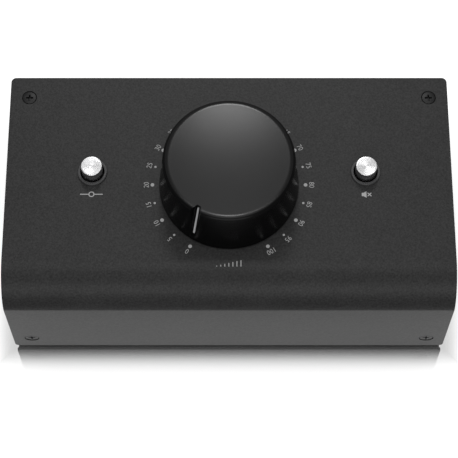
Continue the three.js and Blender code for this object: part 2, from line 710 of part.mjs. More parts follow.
// A strip with round ends along the notch's floor, between two depths from it.
function strip(clearance, low, high) {
  const { foot, along, across, outward, length } = notchFrame();
  const stripLength = length - 2 * POINTER_END_INSET + 2 * clearance;
  const width = POINTER_WIDTH + 2 * clearance;
  const shape = plate(width, stripLength, width / 2, width / 2, 0, length / 2);
  const geometry = new THREE.ExtrudeGeometry(shape, {
    depth: high - low,
    bevelEnabled: false,
    curveSegments: CORNER_FACETS,
  });
  geometry.translate(0, 0, -high);
  const frame = new THREE.Matrix4().makeBasis(across, along, outward.clone().negate());
  return solidOf(geometry.applyMatrix4(frame.setPosition(foot)));
}

function levelKnob() {
  const slot = strip(POINTER_CLEARANCE, -POINTER_SUNK - POINTER_CLEARANCE, OVERRUN);
  return cut(knobOuter(), knobHollow(), shaftBore(), notch(), slot);
}

// Potentiometer: shaft, threaded bushing, stacked gangs and the frame that clamps them.
function potShaft() {
  const top = PANEL_HEIGHT + SHAFT_TOP;
  const body = turned(
    [
      [0, GANGS_BOTTOM - FRAME_SHEET],
      [PIVOT_RADIUS, GANGS_BOTTOM - FRAME_SHEET],
      [PIVOT_RADIUS, GANGS_BOTTOM + CORE_CLEARANCE],
      [CORE_RADIUS, GANGS_BOTTOM + CORE_CLEARANCE],
      [CORE_RADIUS, GANGS_TOP],
      [SHAFT_RADIUS, GANGS_TOP],
      [SHAFT_RADIUS, top - SHAFT_CHAMFER],
      [SHAFT_RADIUS - SHAFT_CHAMFER, top],
      [0, top],
    ],
    SMALL_FACETS,
  );
  const flat = PANEL_HEIGHT + BUSHING_TOP;
  return cut(body, box(SHAFT_FLAT, SHAFT_RADIUS + OVERRUN, -SHAFT_RADIUS, SHAFT_RADIUS, flat, top + OVERRUN));
}

function potBushing() {
  const plateSolid = prismZ(plate(POT_SIDE, POT_SIDE, POT_CORNER), GANGS_TOP, PANEL_INNER);
  const top = PANEL_HEIGHT + BUSHING_TOP;
  const root = GANGS_TOP + POT_PLATE / 2;
  const thread = turned(
    [
      [0, root],
      [BUSHING_RADIUS, root],
      [BUSHING_RADIUS, top - BUSHING_CHAMFER],
      [BUSHING_RADIUS - BUSHING_CHAMFER, top],
      [0, top],
    ],
    ROUND_FACETS,
  );
  const lug = box(
    -LUG_LENGTH / 2,
    LUG_LENGTH / 2,
    -LUG_OFFSET - LUG_WIDTH / 2,
    -LUG_OFFSET + LUG_WIDTH / 2,
    root,
    PANEL_INNER + LUG_HEIGHT,
  );
  const bore = post(SHAFT_RADIUS + SHAFT_CLEARANCE, GANGS_TOP - OVERRUN, top + OVERRUN, SMALL_FACETS);
  return cut(join(plateSolid, thread, lug), bore);
}

const potPins = () => [-PIN_SPACING, 0, PIN_SPACING];

// A gang is a moulded body over a terminal wafer, whose three pins reach through the main board.
function potGang(index) {
  const top = GANGS_TOP - index * GANG_PITCH;
  const waferTop = top - GANG_BODY;
  const bottom = top - GANG_PITCH;
  const bodySide = POT_SIDE - 2 * GANG_BODY_INSET;
  let gang = join(
    prismZ(plate(bodySide, bodySide, POT_CORNER), waferTop - GANG_WAFER / 2, top),
    prismZ(plate(POT_SIDE, POT_SIDE, POT_CORNER), bottom, waferTop),
  );
  const pinMiddle = (waferTop + bottom) / 2;
  for (const x of potPins()) {
    gang = join(
      gang,
      box(x - PIN_WIDTH / 2, x + PIN_WIDTH / 2, POT_SIDE / 2 - GANG_BODY_INSET, MAIN_BOARD_REAR + PIN_PROUD,
        pinMiddle - PIN_THICKNESS / 2, pinMiddle + PIN_THICKNESS / 2),
    );
  }
  return cut(gang, post(CORE_RADIUS + CORE_CLEARANCE, bottom - OVERRUN, top + OVERRUN, HOLE_FACETS));
}

// The frame is a strip under the last gang with a strap up each side to the front plate.
function potFrame() {
  const reach = POT_SIDE / 2 + FRAME_SHEET;
  const bottom = GANGS_BOTTOM - FRAME_SHEET;
  const half = FRAME_STRAP / 2;
  const outside = box(-reach, reach, -half, half, bottom, PANEL_INNER - POT_PLATE);
  const inside = box(-POT_SIDE / 2, POT_SIDE / 2, -half - OVERRUN, half + OVERRUN, GANGS_BOTTOM, PANEL_INNER);
  return cut(outside, inside, post(PIVOT_RADIUS + SHAFT_CLEARANCE, bottom - OVERRUN, GANGS_TOP, HOLE_FACETS));
}

function ring(outer, inner, bottom, top, facets) {
  return cut(post(outer, bottom, top, facets), post(inner, bottom - OVERRUN, top + OVERRUN, ROUND_FACETS));
}

function potWasher() {
  const bore = BUSHING_RADIUS + THREAD_CLEARANCE;
  return ring(WASHER_RADIUS, bore, PANEL_HEIGHT, PANEL_HEIGHT + WASHER_THICKNESS, ROUND_FACETS);
}

function potNut() {
  const bottom = PANEL_HEIGHT + WASHER_THICKNESS;
  const sides = 6;
  const corner = NUT_FLATS / 2 / Math.cos(Math.PI / sides);
  return ring(corner, BUSHING_RADIUS + THREAD_CLEARANCE, bottom, bottom + NUT_HEIGHT, sides);
}

// Button parts, about the button's own axis.
function buttonCap() {
  const inner = CAP_RADIUS - CAP_EDGE;
  const edge = roundPoints(inner, CAP_TOP - CAP_EDGE, CAP_EDGE, 0, Math.PI / 2, EDGE_FACETS / 2);
  const body = turned([[0, CAP_BOTTOM], [CAP_RADIUS, CAP_BOTTOM], ...edge, [0, CAP_TOP]], ROUND_FACETS);
  const half = STEM_SIDE / 2 + SEAT_CLEARANCE;
  return cut(body, box(-half, half, -half, half, CAP_BOTTOM - OVERRUN, CAP_TOP - CAP_ROOF));
}

function buttonCollar() {
  const top = PANEL_HEIGHT + COLLAR_HEIGHT;
  const edge = roundPoints(COLLAR_RADIUS - COLLAR_EDGE, top - COLLAR_EDGE, COLLAR_EDGE, 0, Math.PI / 2,
    EDGE_FACETS / 2);
  const barbTop = PANEL_INNER - COLLAR_CLEARANCE;
  const barb = COLLAR_BARREL + COLLAR_BARB;
  const bottom = PANEL_HEIGHT - COLLAR_DROP;
  const body = turned(
    [
      [0, bottom],
      [COLLAR_BARREL, bottom],
      [barb, barbTop - COLLAR_BARB_HEIGHT],
      [barb, barbTop],
      [COLLAR_BARREL, barbTop],
      [COLLAR_BARREL, PANEL_HEIGHT],
      [COLLAR_RADIUS, PANEL_HEIGHT],
      ...edge,
      [0, top],
    ],
    ROUND_FACETS,
  );
  return cut(body, post(COLLAR_BORE, bottom - OVERRUN, top + OVERRUN, ROUND_FACETS));
}

function switchPlunger() {
  const half = STEM_SIDE / 2;
  const shoulder = SHOULDER_SIDE / 2;
  return join(
    box(-half, half, -half, half, SWITCH_TOP - STEM_DEPTH, CAP_TOP - CAP_ROOF - SEAT_CLEARANCE),
    box(-shoulder, shoulder, -shoulder, shoulder, SHOULDER_TOP - SHOULDER_THICKNESS, SHOULDER_TOP),
  );
}

// One unbroken coil of wire: rings of points along a helix, closed at both ends.
function switchSpring() {
  const steps = SPRING_TURNS * COIL_STEPS;
  const low = SWITCH_TOP + SPRING_WIRE + SPRING_SEAT;
  const high = SPRING_TOP - SPRING_WIRE - SPRING_SEAT;
  const places = [];
  for (let i = 0; i <= steps; i += 1) {
    const angle = (2 * Math.PI * i) / COIL_STEPS;
    const height = low + ((high - low) * i) / steps;
    for (let j = 0; j < WIRE_SIDES; j += 1) {
      const side = (2 * Math.PI * j) / WIRE_SIDES;
      const radius = SPRING_RADIUS + SPRING_WIRE * Math.cos(side);
      places.push(radius * Math.cos(angle), radius * Math.sin(angle), height + SPRING_WIRE * Math.sin(side));
    }
  }
  const corners = [];
  for (let i = 0; i < steps; i += 1) {
    for (let j = 0; j < WIRE_SIDES; j += 1) {
      const a = i * WIRE_SIDES + j;
      const b = i * WIRE_SIDES + ((j + 1) % WIRE_SIDES);
      corners.push(a, a + WIRE_SIDES, b, b, a + WIRE_SIDES, b + WIRE_SIDES);
    }
  }
  const last = steps * WIRE_SIDES;
  for (let j = 1; j < WIRE_SIDES - 1; j += 1) corners.push(0, j, j + 1, last, last + j + 1, last + j);
  const geometry = new THREE.BufferGeometry();
  geometry.setAttribute("position", new THREE.Float32BufferAttribute(places, 3));
  geometry.setIndex(corners);
  return solidOf(geometry);
}

const switchLegs = () =>
  [-1, 1].flatMap((row) => [-1, 0, 1].map((place) => [row * SWITCH_LEG_ROW, place * SWITCH_LEG_PITCH]));

function switchBody() {
  const half = SWITCH_SIDE / 2;
  const stem = STEM_SIDE / 2 + STEM_CLEARANCE;
  const leg = SWITCH_LEG_WIDTH / 2;
  let body = box(-half, half, -half, half, SWITCH_BOTTOM, SWITCH_TOP);
  body = cut(body, box(-stem, stem, -stem, stem, SWITCH_TOP - SWITCH_BORE_DEPTH, SWITCH_TOP + OVERRUN));
  for (const [x, y] of switchLegs()) {
    body = join(body, box(x - leg, x + leg, y - leg / 2, y + leg / 2, SWITCH_BOTTOM - SWITCH_LEG_LENGTH,
      SWITCH_BOTTOM + SEAM));
  }
  return body;
}

function switchBoard() {
  const depth = SWITCH_BOARD_FRONT + SWITCH_BOARD_REAR;
  const middle = (SWITCH_BOARD_REAR - SWITCH_BOARD_FRONT) / 2;
  const outline = plate(SWITCH_BOARD_WIDTH, depth, SEAM, SEAM, 0, middle);
  let board = prismZ(outline, SWITCH_BOARD_BOTTOM, SWITCH_BOTTOM);
  const leg = SWITCH_LEG_WIDTH / 2 + PIN_CLEARANCE;
  const through = [SWITCH_BOARD_BOTTOM - OVERRUN, SWITCH_BOTTOM + OVERRUN];
  for (const [x, y] of switchLegs()) board = cut(board, box(x - leg, x + leg, y - leg, y + leg, ...through));
  for (const at of STANDOFFS) {
    board = cut(board, post(BOARD_SCREW_RADIUS + SCREW_CLEARANCE, ...through, HOLE_FACETS, at.x, at.y));
  }
  return board;
}

function boardScrew(x, y) {
  const head = SWITCH_BOARD_BOTTOM - BOARD_SCREW_HEAD_HEIGHT;
  const tip = SWITCH_BOTTOM + BOARD_SCREW_LENGTH - OVERRUN;
  const body = turned(
    [
      [0, head],
      [BOARD_SCREW_HEAD_RADIUS, head],
      [BOARD_SCREW_HEAD_RADIUS, SWITCH_BOARD_BOTTOM],
      [BOARD_SCREW_RADIUS, SWITCH_BOARD_BOTTOM],
      [BOARD_SCREW_RADIUS, tip],
      [0, tip],
    ],
    HOLE_FACETS,
    x,
    y,
  );
  const half = CROSS_WIDTH / 2;
  const arm = CROSS_LENGTH / 2;
  return cut(
    body,
    box(x - arm, x + arm, y - half, y + half, head - OVERRUN, head + CROSS_DEPTH),
    box(x - half, x + half, y - arm, y + arm, head - OVERRUN, head + CROSS_DEPTH),
  );
}

// A flat lead drops from the switch board, bends rearwards and ends in a header on the main board.
function switchLead() {
  const endY = MAIN_BOARD_FRONT - BUTTON_Y;
  const startY = endY - LEAD_HEADER - LEAD_BEND - LEAD_THICKNESS;
  const headerBottom = SWITCH_BOARD_BOTTOM - LEAD_HEADER;
  const low = headerBottom - LEAD_BEND - LEAD_THICKNESS;
  const bendY = startY + LEAD_THICKNESS + LEAD_BEND;
  const shape = new THREE.Shape();
  shape.moveTo(startY, headerBottom);
  shape.absarc(bendY, headerBottom, LEAD_BEND + LEAD_THICKNESS, Math.PI, 1.5 * Math.PI, false);
  shape.lineTo(bendY + OVERRUN, low);
  shape.lineTo(bendY + OVERRUN, low + LEAD_THICKNESS);
  shape.absarc(bendY, headerBottom, LEAD_BEND, 1.5 * Math.PI, Math.PI, true);
  shape.lineTo(startY + LEAD_THICKNESS, headerBottom + OVERRUN);
  shape.lineTo(startY, headerBottom + OVERRUN);
  shape.closePath();
  const left = LEAD_X - LEAD_WIDTH / 2;
  const right = LEAD_X + LEAD_WIDTH / 2;
  const top = startY + LEAD_THICKNESS / 2;
  const end = low + LEAD_THICKNESS / 2;
  return join(
    prismX(shape, left, right, EDGE_FACETS / 2),
    box(left, right, top - LEAD_HEADER_HALF, top + LEAD_HEADER_HALF, headerBottom, SWITCH_BOARD_BOTTOM),
    box(left, right, endY - LEAD_HEADER, endY, end - LEAD_HEADER_HALF, end + LEAD_HEADER_HALF),
  );
}

function mainBoard() {
  const height = MAIN_BOARD_TOP - MAIN_BOARD_BOTTOM;
  const middleZ = MAIN_BOARD_BOTTOM + height / 2;
  const outline = plate(MAIN_BOARD_WIDTH, height, PLAN_CORNER, PLAN_CORNER, 0, middleZ);
  let board = prismY(outline, MAIN_BOARD_FRONT, MAIN_BOARD_REAR);
  for (let i = 0; i < GANG_COUNT; i += 1) {
    const middle = GANGS_TOP - i * GANG_PITCH - GANG_BODY - GANG_WAFER / 2;
    const halfX = PIN_WIDTH / 2 + PIN_CLEARANCE;
    const halfZ = PIN_THICKNESS / 2 + PIN_CLEARANCE;
    for (const x of potPins()) {
      board = cut(board, box(x - halfX, x + halfX, MAIN_BOARD_FRONT - OVERRUN, MAIN_BOARD_REAR + OVERRUN,
        middle - halfZ, middle + halfZ));
    }
  }
  return board;
}

// Rear sockets are made about Z with the rear wall's inner face at height 0 and the nose going up.
function socketShell(bore, depth) {
  const root = -FLANGE_THICKNESS / 2;
  const nose = turned(
    [
      [0, root],
      [NOSE_RADIUS, root],
      [NOSE_RADIUS, NOSE_LENGTH - NOSE_EDGE],
      [NOSE_RADIUS - NOSE_EDGE, NOSE_LENGTH],
      [0, NOSE_LENGTH],
    ],
    ROUND_FACETS,
  );
  let shell = join(
    nose,
    prismZ(plate(FLANGE_WIDTH, FLANGE_HEIGHT, FLANGE_CORNER), -FLANGE_THICKNESS, 0),
    prismZ(plate(HOUSING_WIDTH, HOUSING_HEIGHT, FLANGE_CORNER), -SOCKET_DEPTH, root),
  );
  const tip = SHEET - SCREW_SINK - SCREW_LENGTH - SOCKET_SCREW_BOTTOM_GAP;
  for (const at of SOCKET_SCREWS) {
    shell = cut(shell, post(SCREW_HOLE, tip, OVERRUN, HOLE_FACETS, at.x, at.z));
  }
  return cut(shell, post(bore, -depth, NOSE_LENGTH + OVERRUN, ROUND_FACETS));
}

const contactPlaces = () =>
  CONTACT_DEGREES.map((degrees) => {
    const angle = THREE.MathUtils.degToRad(degrees);
    return [CONTACT_CIRCLE * Math.cos(angle), CONTACT_CIRCLE * Math.sin(angle)];
  });

// The block stands on the shell's back wall: a jack bore in the middle and three pin holes round it.
function comboBlock() {
  const top = NOSE_LENGTH - BLOCK_RECESS;
  let block = turned(
    [
      [0, -COMBO_DEPTH],
      [BLOCK_RADIUS, -COMBO_DEPTH],
      [BLOCK_RADIUS, top - BLOCK_EDGE],
      [BLOCK_RADIUS - BLOCK_EDGE, top],
      [0, top],
    ],
    ROUND_FACETS,
  );
  block = cut(block, post(BLOCK_BORE, BLOCK_BACK - COMBO_DEPTH, top + OVERRUN, HOLE_FACETS));
  for (const [x, y] of contactPlaces()) {
    block = cut(block, post(BLOCK_HOLE, top - BLOCK_HOLE_DEPTH, top + OVERRUN, HOLE_FACETS / 2, x, y));
  }
  return block;
}

function xlrShell() {
  const half = XLR_KEY_WIDTH / 2;
  const face = INSERT_THICKNESS - XLR_DEPTH;
  const key = box(-half, half, 0, XLR_BORE + XLR_KEY_DEPTH, face, NOSE_LENGTH + OVERRUN);
  return cut(socketShell(XLR_BORE, XLR_DEPTH), key);
}

function xlrInsert() {
  const face = INSERT_THICKNESS - XLR_DEPTH;
  let insert = post(INSERT_RADIUS, -XLR_DEPTH, face, ROUND_FACETS);
  for (const [x, y] of contactPlaces()) {
    const pin = turned(
      [
        [0, face - XLR_PIN_TIP],
        [XLR_PIN_RADIUS, face - XLR_PIN_TIP],
        [XLR_PIN_RADIUS, face + XLR_PIN_LENGTH - XLR_PIN_TIP],
        [XLR_PIN_RADIUS - XLR_PIN_TIP, face + XLR_PIN_LENGTH],
        [0, face + XLR_PIN_LENGTH],
      ],
      HOLE_FACETS / 2,
      x,
      y,
    );
    insert = join(insert, pin);
  }
  return insert;
}

function miniJack() {
  const half = JACK_SIDE / 2;
  const body = join(
    box(-half, half, -half, half, -SOCKET_DEPTH, 0),
    post(JACK_NOSE, -FLANGE_THICKNESS, NOSE_LENGTH, SMALL_FACETS),
  );
  return cut(body, post(JACK_BORE, NOSE_LENGTH - JACK_BORE_DEPTH, NOSE_LENGTH + OVERRUN, HOLE_FACETS));
}

// Assembly
function casing() {
  const group = new THREE.Group();
  group.add(piece("top_cover", topCover(), CASING_PAINT));
  group.add(piece("chassis", chassis(), CASING_PAINT));
  for (const [side, sign] of SIDES) {
    const x = sign * COVER_SCREW_X;
    const rear = piece(`cover_screw_rear_${side}`, screw(), SCREW_BLACK);
    rear.position.set(x, COVER_SCREW_REAR_Y, PANEL_HEIGHT);
    const frontSolid = laid(screw(), TOWARDS_FRONT, x, FRONT_Y, COVER_SCREW_FRONT_HEIGHT);
    group.add(rear, piece(`cover_screw_front_${side}`, frontSolid, SCREW_BLACK));
    for (const [end, along] of [["front", -1], ["rear", 1]]) {
      const footX = sign * (BODY_WIDTH / 2 - FOOT_INSET);
      const footY = along * (BODY_DEPTH / 2 - FOOT_INSET);
      group.add(piece(`foot_${end}_${side}`, foot(footX, footY), RUBBER));
    }
  }
  return group;
}

// The knob and pointer are turned together to the start of the scale.
function levelControl() {
  const group = new THREE.Group();
  const turning = new THREE.Group();
  turning.position.z = PANEL_HEIGHT;
  turning.rotation.z = THREE.MathUtils.degToRad(KNOB_SWEEP_DEGREES / 2);
  const pointer = strip(0, -POINTER_SUNK, POINTER_PROUD);
  turning.add(piece("level_knob", levelKnob(), KNOB_BLACK), piece("knob_pointer", pointer, POINTER_SILVER));
  const shaft = piece("pot_shaft", potShaft(), BRIGHT_METAL);
  shaft.rotation.z = turning.rotation.z;
  group.add(turning, shaft);
  group.add(piece("pot_bushing", potBushing(), BRIGHT_METAL), piece("pot_frame", potFrame(), BRIGHT_METAL));
  group.add(piece("pot_washer", potWasher(), BRIGHT_METAL), piece("pot_nut", potNut(), BRIGHT_METAL));
  for (let i = 0; i < GANG_COUNT; i += 1) group.add(piece(`pot_gang_${i + 1}`, potGang(i), WAFER_BROWN));
  return group;
}

function pushButton(name, x) {
  const group = new THREE.Group();
  group.position.set(x, BUTTON_Y, 0);
  group.add(
    piece(`${name}_button_cap`, buttonCap(), CAP_SILVER),
    piece(`${name}_button_collar`, buttonCollar(), FRONT_PLASTIC),
    piece(`${name}_switch_plunger`, switchPlunger(), SOCKET_BLACK),
    piece(`${name}_switch_spring`, switchSpring(), BRIGHT_METAL),
    piece(`${name}_switch_body`, switchBody(), SOCKET_BLACK),
    piece(`${name}_switch_board`, switchBoard(), BOARD_GREEN),
    piece(`${name}_switch_lead`, switchLead(), LEAD_GREY),
  );
  for (const at of STANDOFFS) {
    group.add(piece(`${name}_board_screw_${at.name}`, boardScrew(at.x, at.y), SCREW_BLACK));
  }
  return group;
}

function rearSocket(name, x) {
  const combo = name.startsWith("combo");
  const place = (solid) => laid(solid, TOWARDS_REAR, x, WALL_INNER_Y, SOCKET_HEIGHT);
  const group = new THREE.Group();
  group.add(
    piece(`${name}_shell`, place(combo ? socketShell(COMBO_BORE, COMBO_DEPTH) : xlrShell()), SOCKET_BLACK),
    piece(combo ? `${name}_contact_block` : `${name}_pin_insert`, place(combo ? comboBlock() : xlrInsert()),
      SOCKET_BLACK),
  );
  for (const at of SOCKET_SCREWS) {
    const solid = laid(screw(), TOWARDS_REAR, x - at.x, WALL_REAR_Y, SOCKET_HEIGHT + at.z);
    group.add(piece(`${name}_screw_${at.name}`, solid, SCREW_BLACK));
  }
  return group;
}

function rearEnd() {
  const group = new THREE.Group();
  group.add(piece("main_board", mainBoard(), BOARD_GREEN));
  for (const { name, x } of SOCKETS) group.add(rearSocket(name, x));
  group.add(piece("mini_jack", laid(miniJack(), TOWARDS_REAR, 0, WALL_INNER_Y, JACK_HEIGHT), SOCKET_BLACK));
  return group;
}

const controller = new THREE.Group();
controller.add(casing(), levelControl(), rearEnd());
for (const { name, x } of BUTTONS) controller.add(pushButton(name, x));

export default controller;
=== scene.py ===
"""Studio monitor controller: a low desk box with one large level knob and two push buttons.

The sub-assemblies are modelled in millimetres and turned to metres when a piece is finished.
+X is the right side, -Y the front and +Z up, with the origin on the table under the knob's axis.
"""
from __future__ import annotations

import logging
import math
from dataclasses import dataclass
from enum import Enum, IntEnum
from functools import cache
from typing import Callable, ClassVar, Sequence

import bmesh
import bpy
from mathutils import Matrix, Vector

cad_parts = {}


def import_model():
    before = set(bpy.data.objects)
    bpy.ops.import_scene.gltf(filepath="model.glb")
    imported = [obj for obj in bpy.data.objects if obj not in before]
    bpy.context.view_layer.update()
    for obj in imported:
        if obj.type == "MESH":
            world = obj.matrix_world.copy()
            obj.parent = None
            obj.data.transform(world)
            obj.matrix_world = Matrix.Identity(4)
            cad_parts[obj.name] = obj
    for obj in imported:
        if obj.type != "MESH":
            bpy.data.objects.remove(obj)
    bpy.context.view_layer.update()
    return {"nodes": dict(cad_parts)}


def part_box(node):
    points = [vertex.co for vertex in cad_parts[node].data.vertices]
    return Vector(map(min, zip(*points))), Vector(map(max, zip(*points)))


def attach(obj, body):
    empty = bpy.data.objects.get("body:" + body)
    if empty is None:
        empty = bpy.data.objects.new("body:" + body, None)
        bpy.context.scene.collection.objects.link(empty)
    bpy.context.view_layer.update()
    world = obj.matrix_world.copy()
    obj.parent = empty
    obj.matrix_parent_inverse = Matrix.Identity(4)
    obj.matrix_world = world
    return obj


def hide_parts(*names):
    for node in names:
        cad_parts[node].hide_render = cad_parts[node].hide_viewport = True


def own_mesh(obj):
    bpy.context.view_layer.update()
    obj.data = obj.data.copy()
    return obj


LOG = logging.getLogger("monitor_controller")
MM = 0.001
WELD = 0.0005
OVERRUN = 1.0
SHEET = 1.2
COIL_STEPS = 24
WIRE_SIDES = 10
SHARP_EDGE = math.radians(32)
SIDES = (("left", -1), ("right", 1))
ENDS = ("front", "rear")
BUTTONS = ("mono", "mute")
WHITE = (1, 1, 1)
SEEN_RAYS = ("Is Camera Ray", "Is Glossy Ray", "Is Transmission Ray")

Point = tuple[float, float]
Triple = tuple[float, float, float]


class Facets(IntEnum):
    """How many faces a rounded edge or corner has."""

    TINY = 2
    SMALL = 3
    MIDDLE = 4
    LARGE = 5
    CORNER = 6
    SHEET_CORNER = 8


class Turn(IntEnum):
    """How many steps a full turn has, by what is turned."""

    BORE = 24
    DOT = 28
    SMALL_POST = 32
    SCREW = 40
    POST = 48
    FOOT = 64
    JACK_HOLE = 64
    JACK_NOSE = 72
    HOLLOW = 90
    WIDE = 96
    NOSE = 120
    KNOB = 180


class Combining(Enum):
    """What is done to a solid with another one."""

    CUT = "DIFFERENCE"
    JOIN = "UNION"


class MixSocket(IntEnum):
    """The colour sockets of a Mix node."""

    FIRST = 6
    SECOND = 7
    RESULT = 2


class Axis(Enum):
    """Which way a piece that was made about Z points when it is in place."""

    UP = ((1, 0, 0), (0, 1, 0), (0, 0, 1))
    FRONT = ((1, 0, 0), (0, 0, -1), (0, 1, 0))
    REAR = ((-1, 0, 0), (0, 0, 1), (0, 1, 0))

    def placed(self, x: float, y: float, z: float) -> Matrix:
        """Gives the matrix that points a piece this way at a place.

        Args:
            x: Place along X in millimetres.
            y: Place along Y in millimetres.
            z: Place along Z in millimetres.

        Returns:
            The matrix from the piece's own space to the frame.
        """
        return Matrix.Translation((x, y, z)) @ Matrix(self.value).to_4x4()


@dataclass(frozen=True)
class NodeBox:
    """The box of a node of the frame, in millimetres."""

    low: Vector
    high: Vector

    @classmethod
    def of(cls, node: str) -> NodeBox:
        """Reads the box of the named node."""
        low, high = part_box(node)
        return cls(low / MM, high / MM)

    @property
    def middle(self) -> Vector:
        """The centre of the box."""
        return (self.low + self.high) / 2

    @property
    def size(self) -> Vector:
        """The box's size on each axis."""
        return self.high - self.low

    def upright(self, height: float = 0.0) -> Matrix:
        """Gives the matrix from the Z axis to the box's upright middle, and up by a height."""
        return Matrix.Translation((self.middle.x, self.middle.y, height))


class Solid:
    """A closed mesh that is being modelled, in millimetres."""

    def __init__(self) -> None:
        """Starts with an empty mesh."""
        self.bm = bmesh.new()

    @classmethod
    def turned(cls, profile: Sequence[Point], steps: int = Turn.WIDE, ring: bool = False) -> Solid:
        """Turns a profile about Z.

        Args:
            profile: Radius and height of each point, from the axis and back to it.
            steps: How many steps one full turn has.
            ring: True for a profile that closes on itself away from the axis.

        Returns:
            The turned solid.
        """
        solid = cls()
        bm = solid.bm
        verts = [bm.verts.new((radius, 0, height)) for radius, height in profile]
        pairs = list(zip(verts, verts[1:]))
        if ring:
            pairs.append((verts[-1], verts[0]))
        edges = [bm.edges.new(pair) for pair in pairs]
        bmesh.ops.spin(bm, geom=[*verts, *edges], cent=(0, 0, 0), axis=(0, 0, 1), angle=math.tau,
                       steps=steps, use_merge=True)
        bmesh.ops.remove_doubles(bm, verts=bm.verts[:], dist=WELD)
        bmesh.ops.recalc_face_normals(bm, faces=bm.faces[:])
        return solid

    @classmethod
    def post(cls, radius: float, bottom: float, top: float, steps: int = Turn.POST) -> Solid:
        """Makes a round post about Z between two heights."""
        return cls.turned([(0, bottom), (radius, bottom), (radius, top), (0, top)], steps)

    @classmethod
    def wound(cls, radius: float, wire: float, bottom: float, top: float, turns: int) -> Solid:
        """Winds one unbroken coil of wire about Z.

        Args:
            radius: Radius of the coil at the middle of the wire.
            wire: Radius of the wire.
            bottom: Height of the wire's middle at its lower end.
            top: Height of the wire's middle at its upper end.
            turns: How many turns the coil has.

        Returns:
            The coil, closed at both ends.
        """
        solid = cls()
        bm = solid.bm
        steps = turns * COIL_STEPS
        place = Matrix.Translation((radius, 0, bottom)) @ Matrix.Rotation(math.pi / 2, 4, "X")
        bmesh.ops.create_circle(bm, cap_ends=False, radius=wire, segments=WIRE_SIDES, matrix=place)
        rise = (0, 0, (top - bottom) / steps)
        bmesh.ops.spin(bm, geom=[*bm.verts, *bm.edges], cent=(0, 0, 0), axis=(0, 0, 1), dvec=rise,
                       angle=math.tau * turns, steps=steps, use_merge=False)
        bmesh.ops.holes_fill(bm, edges=[edge for edge in bm.edges if edge.is_boundary])
        bmesh.ops.recalc_face_normals(bm, faces=bm.faces[:])
        return solid

    @classmethod
    def block(cls, low: Triple, high: Triple) -> Solid:
        """Makes a block between two corners.

        Args:
            low: Its lowest corner.
            high: Its highest corner.

        Returns:
            The block.
        """
        solid = cls()
        start = Vector(low)
        end = Vector(high)
        place = Matrix.LocRotScale((start + end) / 2, None, end - start)
        bmesh.ops.create_cube(solid.bm, size=1, matrix=place)
        return solid

    @classmethod
    def prism(cls, outline: Sequence[Point], bottom: float, top: float) -> Solid:
        """Extrudes an outline along Z.

        Args:
            outline: Corner points in XY.
            bottom: Height of the outline.
            top: Height that it is extruded to.

        Returns:
            The extruded solid.
        """
        solid = cls()
        bm = solid.bm
        face = bm.faces.new([bm.verts.new((x, y, bottom)) for x, y in outline])
        made = bmesh.ops.extrude_face_region(bm, geom=[face])
        raised = [item for item in made["geom"] if isinstance(item, bmesh.types.BMVert)]
        bmesh.ops.translate(bm, verts=raised, vec=(0, 0, top - bottom))
        bmesh.ops.recalc_face_normals(bm, faces=bm.faces[:])
        return solid

    @classmethod
    def plate(cls, width: float, height: float, corner: float, bottom: float, top: float) -> Solid:
        """Makes a plate about Z with rounded upright corners.

        Args:
            width: Size along X.
            height: Size along Y.
            corner: Radius of the four upright corners.
            bottom: Lowest Z.
            top: Highest Z.

        Returns:
            The plate.
        """
        right = width / 2
        rear = height / 2
        solid = cls.block((-right, -rear, bottom), (right, rear, top))
        if corner > 0:
            solid.bevel(is_upright, corner, Facets.CORNER)
        return solid

    def bevel(self, chosen: Callable[[bmesh.types.BMEdge], bool], width: float, segments: int) -> Solid:
        """Rounds the chosen edges.

        Args:
            chosen: Says of an edge whether it is rounded.
            width: How far the rounding reaches on each side.
            segments: How many faces the rounding has.

        Returns:
            This solid.
        """
        edges = [edge for edge in self.bm.edges if chosen(edge)]
        bmesh.ops.bevel(self.bm, geom=edges, offset=width, offset_type="OFFSET", affect="EDGES",
                        segments=segments, profile=0.5, material=-1, clamp_overlap=True)
        return self

    def round_ring(self, radius: float, height: float, width: float, segments: int) -> Solid:
        """Rounds the ring of edges at a radius and height of a turned solid.

        Args:
            radius: Radius of the ring.
            height: Height of the ring.
            width: How far the rounding reaches on each side.
            segments: How many faces the rounding has.

        Returns:
            This solid.
        """
        def on_ring(vert: bmesh.types.BMVert) -> bool:
            """Says whether a vertex lies on the ring."""
            return abs(vert.co.z - height) < WELD and abs(vert.co.xy.length - radius) < WELD

        return self.bevel(lambda edge: all(on_ring(vert) for vert in edge.verts), width, segments)

    def moved(self, matrix: Matrix) -> Solid:
        """Moves the solid by a matrix that doesn't mirror."""
        bmesh.ops.transform(self.bm, matrix=matrix, verts=self.bm.verts[:])
        return self

    def with_all(self, others: Sequence[Solid]) -> Solid:
        """Adds others that don't touch this one to its mesh, without a boolean.

        Args:
            others: The solids that are added.

        Returns:
            This solid.
        """
        for other in others:
            mesh = other.to_mesh("added")
            self.bm.from_mesh(mesh)
            bpy.data.meshes.remove(mesh)
        return self

    def to_mesh(self, name: str) -> bpy.types.Mesh:
        """Writes the solid to a new mesh.

        Args:
            name: The mesh's name.

        Returns:
            The mesh.
        """
        mesh = bpy.data.meshes.new(name)
        self.bm.to_mesh(mesh)
        return mesh

